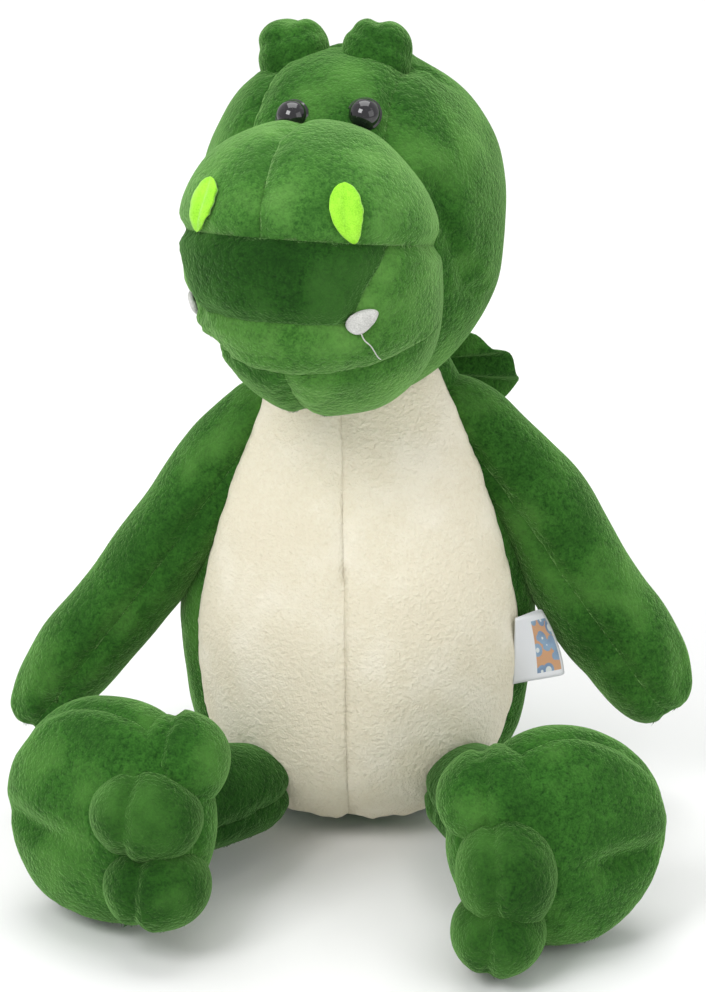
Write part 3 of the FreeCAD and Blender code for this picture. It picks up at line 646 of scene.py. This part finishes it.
@dataclass
class Head:
    """Skull, snout and all that is sewn on them, built facing -Y about the neck and then turned."""

    lift: float = 18.0
    lean: float = 2.0
    sink: float = 3.5
    skull: Point = (3.0, -27.0, 60.0)
    skull_half: Point = (49.0, 49.0, 55.0)
    face_half: float = 31.0
    snout_line: Keys = ((0.0, 10.0, -45.0, 4.0), (0.3, 8.0, -57.0, 30.0), (0.62, 3.0, -70.0, 58.0),
                        (1.0, 0.5, -73.0, 92.0))
    snout_girth: Keys = ((0.0, 36.0, 34.0), (0.3, 38.0, 38.0), (0.62, 41.0, 40.0), (1.0, 41.0, 40.0))
    mouth_half: float = 38.0
    mouth_top: float = 56.5
    mouth_low: float = 28.5
    buried: float = 5.0

    def __post_init__(self) -> None:
        """Works out where the head sits and lays out the snout's seams."""
        axis = Vector(JOINTS["head_nod"]["axis"])
        self.place = (Matrix.Translation(pivot("head_nod") - Vector((0, 0, self.sink)))
                      @ Matrix.Rotation(-math.radians(self.lean), 4, "Y")
                      @ Matrix.Rotation(-math.atan2(-axis.y, axis.x), 4, "Z")
                      @ Matrix.Rotation(-math.radians(self.lift), 4, "X"))
        self.trees: dict[str, BVHTree] = {}
        self.eye_places: list[Matrix] = []
        below = lambda p: ramp(-1.5, 1.5, self.mouth_top - p.z) * ramp(-4, 4, -70 - p.y)
        above = lambda p: ramp(-1.5, 1.5, p.z - self.mouth_top)
        self.level = Seam((0, 0, self.mouth_top), (0, 0, 1), everywhere, 2.4, 2.8, 0.5)
        self.corners = [Seam((sign * self.mouth_half, 0, self.mouth_top), (sign, 0, -0.42),
                             lambda p: below(p) * ramp(-2, 2, p.z - self.mouth_low), 2.2, 2.8, 0.4)
                        for _, sign in SIDES]
        self.floor = Seam((0, -110, self.mouth_low), (0, -0.15, 1),
                          lambda p: below(p) * ramp(-2, 4, self.mouth_half - 4 - abs(p.x)), 2.4, 3.0, 0.4)
        self.lip = Seam((0, -90, 14), (0, -0.6, 1), below, 1.6, 2.8, 0.6)
        self.top = Seam((0, 0, 0), (1, 0, 0), above, 1.8, 2.8, 0.7)
        self.chin = Seam((4, 0, 0), (1, 0, -0.05), lambda p: 1 - ramp(8, 16, p.z), 2.2, 3.2, 0.8)

    def build(self) -> None:
        """Makes every piece of the head."""
        skull, skull_names = self.shape_skull()
        snout, snout_names = self.shape_snout()
        self.trees = {"skull": BVHTree.FromBMesh(skull), "snout": BVHTree.FromBMesh(snout)}
        # The muzzle's top panels take the painted highlight copy of the green plush.
        finishes = {"mouth_panel": DEEP_GREEN, "lip_panels": PALE_GREEN, "jaw_panel_left": PALE_GREEN,
                    # The right jaw panel takes the painted shade copy of the light green.
                    "jaw_panel_right": SHADED_JAW_GREEN, "muzzle_top_left": PAINTED_LIT_GREEN, "muzzle_top_right": PAINTED_LIT_GREEN}
        panels = parts_of(skull, skull_names, lambda p: self.deep_in("snout", p))
        panels.update(parts_of(snout, snout_names, lambda p: self.deep_in("skull", p)))
        sew(panels, "head", 0.87, {"face_panel": ("head_stuffing",), "mouth_panel": ("snout_stuffing",)},
            {node: (finish, Nap.FACE) for node, finish in finishes.items()}, (GREEN, Nap.FACE), self.place)
        for side, sign in SIDES:
            self.build_eye(side, sign)
            self.build_horn(side, sign)
        self.build_washers()
        self.build_nostrils()
        self.build_teeth()
        self.build_neck()

    def deep_in(self, name: str, place: Vector) -> bool:
        """Whether a place is well inside the skull or the snout."""
        spot, normal, _, _ = self.trees[name].find_nearest(place)
        return (place - spot).dot(normal) < -self.buried

    def shape_skull(self) -> tuple[bmesh.types.BMesh, list[str]]:
        """Face panel and the two head panels."""
        x, y, z = self.skull
        upper = lambda p: ramp(-3, 3, p.z - z) * ramp(-4, 4, y + 8 - p.y)
        cheeks = [Seam((x + sign * self.face_half, 0, 0), (sign, 0, 0.10), upper, 2.2, 3.2, 0.9) for _, sign in SIDES]
        brow = Seam((0, y + 8, 0), (0, 1, 0.1),
                    lambda p: ramp(0, 4, p.z - z) * ramp(-3, 3, self.face_half - abs(p.x - x)), 1.6, 3.0)
        back = Seam((x, 0, 0), (1, 0, 0), lambda p: 1 - upper(p), 1.6, 3.0)
        fold = Seam((x + 41, y - 20, z - 4), (0.92, 0.3, 0.42),
                    lambda p: (ramp(8, 16, 30 - abs(p.z - z + 2)) * ramp(0, 6, p.x - x)
                               * ramp(-6, 2, y + 2 - p.y)), 2.6, 3.4, 1.2)
        line = ((0.0, x, y, z - self.skull_half[2]), (1.0, x, y, z + self.skull_half[2]))
        girth = ((0.0, self.skull_half[0] * 0.94, self.skull_half[1] * 0.9), (0.5, *self.skull_half[:2]),
                 (1.0, self.skull_half[0] * 0.97, self.skull_half[1]))
        face = lambda p: not any(cheek.past(p) for cheek in cheeks) and not brow.past(p) and p.z > z
        panels = {"face_panel": face, "head_panel_left": back.past, "head_panel_right": anywhere}
        bm = Form(line, girth, blunt=2.3, around=132, rows=100, seams=[*cheeks, brow, back, fold], lumps=1.6,
                  seed=3.0, panels=panels).build()
        return bm, list(panels)

    def shape_snout(self) -> tuple[bmesh.types.BMesh, list[str]]:
        """The muzzle's top panels, the mouth panel, the lips round it and the jaw."""
        crease = Seam((-20, -70, 20), (0.35, 0.1, 1),
                      lambda p: ramp(-4, 6, -12 - p.x) * ramp(-4, 4, -62 - p.y), 2.0, 2.2, 1.2)
        seams = [self.level, *self.corners, self.floor, self.lip, self.top, self.chin, crease]
        up, jaw = self.level.past, lambda p: not self.lip.past(p)
        mouth = lambda p: (not up(p) and self.floor.past(p) and p.y < -70
                           and not any(corner.past(p) for corner in self.corners))
        panels = {
            "muzzle_top_left": lambda p: up(p) and self.top.past(p),
            "muzzle_top_right": up,
            "mouth_panel": mouth,
            "lip_panels": lambda p: not jaw(p),
            "jaw_panel_left": self.chin.past,
            "jaw_panel_right": anywhere,
        }
        bm = Form(self.snout_line, self.snout_girth, blunt=2.3, around=132, rows=110, seams=seams, lumps=1.3,
                  seed=8.0, panels=panels).build()
        return bm, list(panels)

    def build_eye(self, side: str, sign: int) -> None:
        """A domed safety eye, turned about its own axis and set on the face."""
        bm = bmesh.new()
        dome, flange, stem = 4.9, 5.4, 1.7
        outline = [(0.0, dome * 0.95)]
        outline += [(dome * math.sin(math.radians(a)), dome * 0.95 * math.cos(math.radians(a)))
                    for a in range(10, 91, 10)]
        outline += [(flange, -0.1), (flange, -0.9), (stem, -1.2), (stem, -12.0), (0.0, -12.0)]
        verts = [bm.verts.new((x, 0, z)) for x, z in outline]
        edges = [bm.edges.new(pair) for pair in zip(verts, verts[1:])]
        bmesh.ops.spin(bm, geom=verts + edges, cent=(0, 0, 0), axis=(0, 0, 1), angle=math.tau, steps=48,
                       use_merge=True)
        bmesh.ops.remove_doubles(bm, verts=bm.verts[:], dist=0.01)
        outward(bm)
        aside, rise = (21.0, 40.0) if sign > 0 else (-10.0, 37.5)
        way = self.toward(aside, rise)
        spot, _, _, _ = self.trees["skull"].ray_cast(Vector(self.skull), way)
        facing = (way + Vector((0, -0.8, -0.1))).normalized()
        place = Matrix.Translation(spot + facing * 0.4) @ facing.to_track_quat("Z", "Y").to_matrix().to_4x4()
        self.eye_places.append(place)
        Piece(f"eye_{side}_dome", "head", BLACK, (f"eye_{side}",), thick=0).make(bm, self.place @ place)

    def build_washers(self) -> None:
        """The washers that hold the eyes' stems inside the head."""
        hole, rim, top, under = 2.0, 6.4, -7.0, -8.5
        bm = bmesh.new()
        for place in self.eye_places:
            corners = ((hole, 0, top), (rim, 0, top), (rim, 0, under), (hole, 0, under))
            ring = [bm.verts.new(corner) for corner in corners]
            edges = [bm.edges.new((ring[i], ring[(i + 1) % 4])) for i in range(4)]
            bmesh.ops.spin(bm, geom=ring + edges, cent=(0, 0, 0), axis=(0, 0, 1), angle=math.tau, steps=40,
                           use_merge=True)
            made = [vert for vert in bm.verts if not vert.tag]
            bmesh.ops.transform(bm, matrix=place, verts=made)
            for vert in made:
                vert.tag = True
        bmesh.ops.remove_doubles(bm, verts=bm.verts[:], dist=0.01)
        outward(bm)
        Piece("eye_washer_rings", "head", WASHER, ("eye_washers",), thick=0).make(bm, self.place)

    def toward(self, aside: float, rise: float) -> Vector:
        """A direction from a form's middle, by its angles aside and up."""
        a, r = math.radians(aside), math.radians(rise)
        return Vector((math.sin(a) * math.cos(r), -math.cos(a) * math.cos(r), math.sin(r)))

    def build_horn(self, side: str, sign: int) -> None:
        """A short fat horn, folded down its front and leaning outwards."""
        aside, height = (9.0, 124.0) if sign > 0 else (12.5, 122.0)
        root = Vector((sign * aside, self.skull[1] - 10.0, 100.0))
        tip = Vector((sign * (aside + 4.0), self.skull[1] - 12.0, height))
        middle = (root + tip) / 2 + Vector((sign * 0.8, 0, 0))
        line = ((0.0, *root), (0.5, *middle), (1.0, *tip))
        girth = ((0.0, 11.5, 10.5), (0.35, 11.5, 10.5), (0.75, 11.0, 10.0), (1.0, 9.5, 8.5))
        seam = Seam(tuple(root), (1, 0.25 * sign, -0.1 * sign), everywhere, 1.2, 2.6, 0.3)
        fold = Seam(tuple(tip - Vector((0, 0, 7))), (0.35 * sign, 0.15, 1),
                    lambda p: ramp(-2, 4, -(p.y - root.y)), 0.8, 2.2, 0.3)
        bm = Form(line, girth, blunt=3.2, around=56, rows=44, seams=[seam, fold], lumps=0.6, seed=sign * 5.0).build()
        Piece(f"horn_{side}_cloth", "head", GREEN, (f"horn_{side}",), Nap.FACE, fill=0.6).make(bm, self.place)

    def on_snout(self, x: float, z: float, off: float) -> Vector:
        """The point of the snout's front at an x and z, and a distance off it."""
        spot, normal, _, _ = self.trees["snout"].ray_cast(Vector((x, -300, z)), Vector((0, 1, 0)))
        return spot + normal * off

    def round_snout(self, angle: float, z: float, off: float) -> Vector:
        """The point of the snout at an angle round it from its front and a z, and a distance off it."""
        low, high = self.snout_line[0][3], self.snout_line[-1][3]
        x, y, _ = keyed((z - low) / (high - low), self.snout_line)
        turn = math.radians(angle)
        way = Vector((math.sin(turn), -math.cos(turn), 0))
        spot, normal, _, _ = self.trees["snout"].ray_cast(Vector((x, y, z)), way)
        return spot + normal * off

    def patch(self, bm: bmesh.types.BMesh, across: int, along: int,
              place: Callable[[float, float], Vector]) -> None:
        """Lays a grid of cloth, its corners drawn in by the place function, on the snout."""
        made = bmesh.ops.create_grid(bm, x_segments=across, y_segments=along, size=1.0)
        for vert in made["verts"]:
            vert.co = place(vert.co.x, vert.co.y)

    def stick(self, name: str, bm: bmesh.types.BMesh, finish: Felt, node: str) -> None:
        """Makes a piece of the patches laid on the snout."""
        bmesh.ops.remove_doubles(bm, verts=bm.verts[:], dist=0.02)
        outward(bm)
        Piece(name, "head", finish, (node,), thick=1.6).make(bm, self.place)

    def build_nostrils(self) -> None:
        """Two leaf-shaped patches of felt, their lower points on the level seam."""
        bm = bmesh.new()
        for _, sign in SIDES:
            def place(u: float, v: float, sign: int = sign) -> Vector:
                """A point of one patch."""
                width = 4.1 * max(1 - v ** 2, 0.0) ** 0.62 * (1 + 0.22 * v) + 0.05
                tall = 8.8 if sign > 0 else 8.2
                ragged = 0.35 * noise.noise(Vector((v * 4, u * 2, sign * 3)))
                raised = 1.9 + 0.6 * (1 - v ** 2) * (1 - u ** 4) - 0.9 * bell(u / 0.28) * (1 - v ** 2)
                return self.on_snout(3.0 + sign * (22.0 - 1.8 * v) + u * (width + ragged),
                                     self.mouth_top + (1 + v) * tall, raised)
            self.patch(bm, 16, 30, place)
        self.stick("nostril_felt", bm, LIME, "nostril_patches")

    def build_teeth(self) -> None:
        """A small white felt fang at each lower corner of the mouth, one with a loose thread."""
        bm = bmesh.new()
        for _, sign in SIDES:
            def place(u: float, v: float, sign: int = sign) -> Vector:
                """A point of one tooth."""
                x, y = u * math.sqrt(1 - v * v / 2), v * math.sqrt(1 - u * u / 2)
                angle = (33.0 if sign > 0 else -82.0) + x * 7.5 * (1.0 + 0.25 * y)
                z = self.mouth_low + 5.0 + y * 3.2 + x * 2.4 * sign
                return self.round_snout(angle, z, 1.2 + 1.6 * max(1 - x * x - y * y, 0.0) ** 0.5)
            self.patch(bm, 14, 12, place)
        self.stick("teeth_felt", bm, WHITE_FELT, "teeth")
        keys = ((0.0, 31.0, -3.5), (0.3, 31.5, -6.0), (0.6, 34.0, -8.0), (0.85, 36.5, -11.0), (1.0, 38.5, -12.0))
        line = [(share, *self.round_snout(angle, self.mouth_low + 6.0 + drop, 2.0)) for share, angle, drop in keys]
        bm = Form(line, ((0.0, 0.22, 0.22), (1.0, 0.18, 0.18)), blunt=6.0, around=8, rows=40, lumps=0.0).build()
        Piece("tooth_thread", "head", WHITE_FELT, (), thick=0).make(bm, self.place)

    def build_neck(self) -> None:
        """The ring of cloth under the head."""
        neck = pivot("neck_turn")
        line = ((0.0, neck.x, neck.y, neck.z + 4), (1.0, neck.x, neck.y, neck.z + 28))
        bm = Form(line, ((0.0, 25.0, 25.0), (1.0, 24.0, 24.0)), blunt=3.0, around=72, rows=40, lumps=0.5).build()
        Piece("neck_gusset_cloth", "neck", DEEP_GREEN, ("neck_gusset",), Nap.NONE).make(bm)


@dataclass
class Arm:
    """One hanging arm with a mitten hand, sewn from an outer and an inner panel."""

    side: str
    sign: int
    path: Keys
    girth: Keys

    def line(self) -> Keys:
        """The arm's middle, from inside the shoulder to the finger end."""
        root = pivot(f"shoulder_swing_{self.side}")
        return [(share, root.x + self.sign * out, root.y - 10.0 * share, root.z + rise)
                for share, out, rise in self.path]

    def build(self) -> None:
        """Makes the arm's two panels."""
        line = self.line()
        seams = [self.seam(line)]
        outer = f"arm_outer_panel_{self.side}"
        panels = {f"arm_inner_panel_{self.side}": seams[0].past, outer: anywhere}
        bm = Form(line, self.girth, blunt=4.2, around=84, rows=110, seams=seams, lumps=1.4, seed=self.sign * 7.0,
                  shape=self.hand(line), panels=panels).build()
        sew(parts_of(bm, panels), f"arm_{self.side}", 0.7, {outer: (f"arm_stuffing_{self.side}",)})
        wad(f"shoulder_wad_{self.side}", f"shoulder_{self.side}", pivot(f"shoulder_swing_{self.side}"), 4.2, 0.08, 0.6)

    def seam(self, line: Keys) -> Seam:
        """The seam down the arm's front and back."""
        start, end = Vector(line[0][1:]), Vector(line[-1][1:])
        way = (end - start).normalized()
        across = way.cross(Vector((0, -1, 0))).normalized()
        middle = Vector(line[len(line) // 2][1:])
        toward_body = across if across.x * self.sign < 0 else -across
        return Seam(tuple(middle + across * 0.5), tuple(toward_body), everywhere, 2.0, 3.2, 1.0)

    def hand(self, line: Keys) -> Callable[[Vector, float, float], Vector]:
        """Draws in a groove beside the thumb."""
        end = Vector(line[-1][1:])
        mark = end + Vector((self.sign * 5.0, -10.0, 22.0))

        def shaped(place: Vector, share: float, angle: float) -> Vector:
            """Moves one point of the arm."""
            gap = place - mark
            near = bell(gap.x / 4.0, gap.z / 17.0) * ramp(-2, 8, end.y - place.y)
            return place + Vector((0, 3.2 * near, 0))
        return shaped


@dataclass
class Leg:
    """One leg with its big round foot."""

    side: str
    sign: int
    pad: Point
    toes: tuple[tuple[Point, Point], ...]
    turn: float = 0.0
    ahead: float = 0.0
    inset: float = -3.0
    tilt: float = 8.0

    def __post_init__(self) -> None:
        """Reads where the leg and the foot sit."""
        self.hip = pivot(f"hip_lift_{self.side}")
        self.ankle = pivot(f"ankle_{self.side}")
        lateral = Vector(JOINTS[f"ankle_{self.side}"]["axis"])
        lateral.rotate(Matrix.Rotation(math.radians(self.turn), 3, "Z"))
        flat = Vector((0, 0, 1)).cross(lateral).normalized()
        if flat.y > 0:
            flat = -flat
        tilt = math.radians(self.tilt)
        self.sole = flat * math.cos(tilt) + Vector((0, 0, math.sin(tilt)))
        self.inward = (lateral if lateral.x * self.sign < 0 else -lateral).normalized()
        self.up = (Vector((0, 0, 1)) - self.sole * self.sole.z).normalized()
        self.middle = self.ankle + self.sole * (21.0 + self.ahead) + self.inward * self.inset
        self.middle.z = self.pad[1] * self.up.z + 1.0

    def spot(self, inward: float, up: float, ahead: float) -> Vector:
        """A place on the foot from its middle."""
        return self.middle + self.inward * inward + self.up * up + self.sole * ahead

    def build(self) -> None:
        """Makes the leg, the foot and the toes."""
        self.build_sleeve()
        self.build_foot()
        self.build_toes()

    def build_sleeve(self) -> None:
        """The leg's two panels."""
        way = (self.ankle - self.hip).normalized()
        start, end = self.hip - way * 16, self.ankle + way * 14
        line = ((0.0, *start), (0.5, *((start + end) / 2 + Vector((0, 0, 1.0)))), (1.0, *end))
        girth = ((0.0, 15.0, 15.0), (0.4, 17.5, 16.5), (0.7, 17.0, 16.5), (1.0, 16.0, 16.0))
        seams = [Seam(tuple(self.hip), (0, 0, 1), everywhere, 1.8, 3.0, 1.0)]
        top = f"leg_top_panel_{self.side}"
        panels = {top: seams[0].past, f"leg_under_panel_{self.side}": anywhere}
        bm = Form(line, girth, front=(0, 0, 1), blunt=4.0, around=72, rows=64, seams=seams, lumps=1.5,
                  seed=self.sign * 3.0, panels=panels).build()
        above_floor(bm)
        sew(parts_of(bm, panels), f"leg_{self.side}", 0.7, {top: (f"leg_stuffing_{self.side}",)},
            usual=(DEEP_GREEN, Nap.BODY))
        wad(f"hip_wad_{self.side}", f"hip_{self.side}", self.hip, 5.7, 0.06, 0.5)

    def build_foot(self) -> None:
        """The foot pad: an upper and a sole, sewn round the rim."""
        wide, tall, thick = self.pad
        line = ((0.0, *self.spot(0, 1, -thick)), (1.0, *self.spot(0, 1, thick)))
        girth = ((0.0, wide * 0.9, tall * 0.9), (0.3, wide, tall), (0.7, wide, tall), (1.0, wide * 0.92, tall * 0.92))
        rim = Seam(tuple(self.spot(0, 0, 6.0)), tuple(self.sole), everywhere, 1.1, 2.4, 0.4)
        crease = self.spot(-18, -4, 19)

        def shaped(place: Vector, share: float, angle: float) -> Vector:
            """Dimples the sole and keeps the foot off the floor."""
            gap = place - crease
            near = bell(gap.dot(self.inward) / 16.0, gap.dot(self.up) / 4.5, gap.dot(self.sole) / 14.0)
            moved = place - self.sole * 4.5 * near
            moved.z = max(moved.z, FLOOR_GAP)
            return moved
        sole = f"foot_sole_{self.side}"
        panels = {sole: rim.past, f"foot_upper_{self.side}": anywhere}
        bm = Form(line, girth, front=tuple(self.up), blunt=2.5, around=108, rows=76, seams=[rim], lumps=1.6,
                  seed=self.sign * 11.0, shape=shaped, panels=panels).build()
        sew(parts_of(bm, panels), f"foot_{self.side}", 0.8, {sole: (f"foot_stuffing_{self.side}",)})

    def build_toes(self) -> None:
        """Three toe lobes down the inner edge, each with a seam over it."""
        for name, ((inward, up, ahead), (wide, tall, long)) in zip(("top", "middle", "bottom"), self.toes):
            middle = self.spot(inward, up, ahead)
            axis = (self.sole * 0.85 + self.inward * 0.30 + self.up * 0.008 * up).normalized()
            line = ((0.0, *(middle - axis * long)), (1.0, *(middle + axis * long)))
            girth = ((0.0, wide * 0.92, tall * 0.92), (0.5, wide, tall), (1.0, wide * 0.97, tall * 0.97))
            across = axis.cross(self.up).normalized()
            seam = Seam(tuple(middle + across * 4), tuple(across), everywhere, 1.7, 2.4, 0.8)
            bm = Form(line, girth, front=tuple(self.up), blunt=2.3, around=72, rows=52, seams=[seam],
                      lumps=1.2, seed=self.sign * 4.0 + up).build()
            above_floor(bm)
            # The middle and bottom toes take a darker copy of the green plush as painted shade.
            node, finish = f"toe_{name}_{self.side}", GREEN if name == "top" else SHADED_TOE_GREEN
            Piece(f"{node}_cloth", f"foot_{self.side}", finish, (node,), Nap.BODY, fill=0.9).make(bm)


@dataclass
class Tail:
    """The tapering tail behind the seat."""

    def build(self) -> None:
        """Makes the tail's two panels."""
        root = pivot("tail_wag")
        tip = Vector((0, max(c[1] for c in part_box("tail_panel_left")) / MM - 3, 7.0))
        way = (tip - root).normalized()
        start = root - way * 14
        line = ((0.0, *start), (0.5, *((start + tip) / 2 + Vector((0, 0, -1.5)))), (1.0, *tip))
        girth = ((0.0, 15.0, 14.0), (0.35, 13.0, 12.5), (0.7, 9.5, 9.0), (1.0, 6.0, 6.0))
        seam = Seam((0, 0, 0), (1, 0, 0), everywhere, 1.8, 3.0, 0.9)
        panels = {"tail_panel_left": seam.past, "tail_panel_right": anywhere}
        bm = Form(line, girth, front=(0, 0, 1), blunt=3.6, around=64, rows=72, seams=[seam], lumps=1.0, seed=6.0,
                  panels=panels).build()
        above_floor(bm, 0.5)
        sew(parts_of(bm, panels), "tail", 0.7, {"tail_panel_left": ("tail_stuffing",)})


@dataclass
class Fin:
    """One crest fin: a padded fan of cloth, gathered at its root and pleated to its edge."""

    node: str
    body: str
    width: float
    height: float
    pleats: float
    droop: float = 0.0
    gather: float = 1.12
    tuck: float = 2.0
    padding: float = 2.6
    pleat_depth: float = 1.7
    curl: float = 3.0

    def build(self) -> None:
        """Makes the fin in the frame of its root and lays it in place."""
        joint = JOINTS[f"{self.body}_flop"]
        axis = Vector(joint["axis"]).normalized()
        low, high = (Vector(corner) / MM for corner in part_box(self.node))
        root = Vector(joint["pos_m"]) / MM
        out = (low + high) / 2 - root
        out = (out - axis * out.dot(axis)).normalized()
        side = axis.cross(out).normalized()
        bm = bmesh.new()
        bmesh.ops.create_uvsphere(bm, u_segments=96, v_segments=56, radius=1.0)
        out = (out + axis * self.droop).normalized()
        spread_way = side.cross(out)
        axis = -spread_way if spread_way.dot(axis) < 0 else spread_way
        for vert in bm.verts:
            x, y, flat = vert.co.x, vert.co.y, vert.co.z
            spread = math.atan2(x, y + self.gather)
            reach = math.hypot(x, y + self.gather) / (1 + self.gather)
            waves = math.cos(spread * self.pleats)
            fold = ramp(0.12, 0.5, reach)
            length = self.height * (0.985 + 0.015 * waves) * (1 - 0.10 * abs(math.sin(spread)))
            along = math.sin(spread) * reach * length * self.width / self.height
            far = math.cos(spread) * reach * length - self.tuck
            thick = flat * self.padding * (0.6 + 0.4 * reach) + self.pleat_depth * waves * fold
            curl = self.curl * math.sin(reach * 2.0 + spread)
            vert.co = root + axis * along + out * far + side * (thick + curl)
        outward(bm)
        Piece(f"{self.node}_cloth", self.body, CREST, (self.node,), Nap.NONE, fill=0.4, thick=0).make(bm)


@dataclass
class Label:
    """The satin ribbon in the left side seam, folded on itself."""

    height: float = 24.0
    lift: float = 10.0
    gape: float = 0.9
    curl: float = 5.0
    thick: float = 0.35

    def build(self) -> None:
        """Makes the ribbon as a strip that goes out, folds over and comes back."""
        low, high = (Vector(corner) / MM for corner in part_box("side_label"))
        root = Vector(JOINTS["label_flip"]["pos_m"]) / MM
        root.z = (low.z + high.z) / 2 + self.lift
        tip = Vector((high.x - 1.0, (low.y + high.y) / 2 + 4.0, root.z))
        way = tip - root
        length = way.length
        way.normalize()
        side = Vector((way.y, -way.x, 0))
        bm = bmesh.new()
        layer = bm.loops.layers.uv.new("ribbon")
        bmesh.ops.create_grid(bm, x_segments=60, y_segments=20, size=0.5)
        places = {}
        for vert in bm.verts:
            share, across = vert.co.x + 0.5, vert.co.y + 0.5
            places[vert] = (share, across)
            back = share > 0.5
            out = (1 - abs(share - 0.5) * 2)
            turn = math.sqrt(max(1 - out ** 8, 0)) if out > 0.9 else 1.0
            gap = (self.gape if back else -self.gape) * turn * (0.4 + 0.8 * out)
            wave = 2.0 * math.sin(out * 2.4 + across * 1.2) - 1.2 * math.sin(across * 3.0) * out
            droop = -2.5 * out * out
            curl = self.curl * (out * across ** 2)
            vert.co = (root + way * (out * length - curl) + side * (gap + wave - curl)
                       + Vector((0, 0, (across - 0.5) * self.height + 4.0 * out * (1 - across) + droop)))
        for face in bm.faces:
            for loop in face.loops:
                share, across = places[loop.vert]
                loop[layer].uv = (1 - abs(share - 0.5) * 2, across)
        outward(bm)
        made = Piece("side_label_ribbon", "label", RIBBON, ("side_label",), thick=self.thick).make(bm)


@dataclass
class Studio:
    """Pale floor, soft light and the camera."""

    reach: float = 1.6
    rise: float = 23.0
    aim: Point = (-0.0007, 0.0, 0.1045)
    lens: float = 179.5
    lit: Point = (0.0, 0.0, 0.12)
    ambient: float = 0.68

    def build(self) -> None:
        """Makes the floor, the lights and the camera."""
        self.build_floor()
        self.light("key", (-0.75, -0.95, 1.25), 0.7, 11.5)
        self.light("fill", (1.1, -0.9, 0.7), 1.0, 3.5)
        self.light("top", (0.0, 0.35, 1.5), 1.2, 12.0)
        world = bpy.data.worlds.new("studio")
        world.use_nodes = True
        world.node_tree.nodes["Background"].inputs["Color"].default_value = (1.0, 1.0, 1.0, 1)
        world.node_tree.nodes["Background"].inputs["Strength"].default_value = self.ambient
        bpy.context.scene.world = world
        view = bpy.data.cameras.new("camera")
        view.sensor_width, view.lens = 36.0, self.lens
        view.clip_end = 20.0
        made = put("camera", view)
        rise = math.radians(self.rise)
        aim = Vector(self.aim)
        made.location = aim + Vector((0, -math.cos(rise), math.sin(rise))) * self.reach
        made.rotation_euler = (aim - made.location).to_track_quat("-Z", "Y").to_euler()
        bpy.context.scene.camera = made
        bpy.context.scene.view_settings.view_transform = "Standard"

    def build_floor(self) -> None:
        """A wide pale floor."""
        graph = Graph("pale_floor")
        cloud = graph.noise(3.0, 2.0)
        colour = graph.mix(cloud, (0.88, 0.88, 0.88), (0.92, 0.92, 0.92))
        material = graph.finish(Base_Color=colour, Roughness=0.9)
        bm = bmesh.new()
        bmesh.ops.create_grid(bm, x_segments=1, y_segments=1, size=6.0)
        mesh = bpy.data.meshes.new("floor")
        bm.to_mesh(mesh)
        bm.free()
        mesh.materials.append(material)
        put("floor", mesh)

    def light(self, name: str, place: Point, size: float, power: float) -> None:
        """A square soft light that faces the toy."""
        lamp = bpy.data.lights.new(name, "AREA")
        lamp.size, lamp.energy = size, power
        made = put(name, lamp)
        made.location = place
        made.rotation_euler = (Vector(self.lit) - Vector(place)).to_track_quat("-Z", "Y").to_euler()


ARMS: dict[str, tuple[Keys, Keys]] = {
    "left": (((0.0, -16.0, 12.0), (0.18, 5.0, -8.0), (0.36, 21.0, -28.0), (0.62, 38.0, -61.0), (0.8, 49.0, -75.0),
              (1.0, 61.0, -97.0)),
             ((0.0, 15.0, 16.0), (0.25, 15.0, 15.0), (0.6, 17.0, 16.0), (0.85, 17.0, 16.0), (1.0, 16.0, 15.0))),
    "right": (((0.0, -16.0, 12.0), (0.2, 0.0, -10.0), (0.4, 16.0, -32.0), (0.6, 31.0, -54.0), (0.8, 47.0, -73.0),
               (1.0, 66.5, -101.5)),
              ((0.0, 15.0, 16.0), (0.25, 15.0, 15.0), (0.6, 15.0, 15.0), (0.85, 15.0, 14.5), (1.0, 14.0, 13.5))),
}
FEET: dict[str, tuple] = {
    "left": ((35.0, 34.5, 19.5),
             (((19.0, 17.0, -1.0), (18.5, 16.5, 16.0)), ((21.5, -3.5, 11.0), (15.5, 18.0, 17.0)),
              ((25.5, -22.0, 12.0), (14.5, 12.5, 17.0))), 0.0, 7.5, -3.0),
    "right": ((36.0, 36.0, 20.0),
              (((22.0, 22.0, -4.0), (15.0, 16.0, 15.0)), ((20.0, 8.0, 10.0), (18.0, 14.5, 16.0)),
               ((25.0, -14.0, 9.0), (16.5, 14.5, 16.0))), 12.0, 3.0, 0.0),
}


def main() -> None:
    """Builds the toy and its studio."""
    Studio().build()
    Body().build()
    Head().build()
    for side, sign in SIDES:
        Arm(side, sign, *ARMS[side]).build()
        Leg(side, sign, *FEET[side]).build()
    Tail().build()
    Fin("crest_fin_top", "crest_top", 40.0, 63.0, 21.0, -0.38).build()
    Fin("crest_fin_low", "crest_low", 26.0, 34.0, 17.0).build()
    Label().build()


if __name__ == "__main__":
    logging.basicConfig(level=logging.INFO)
    main()
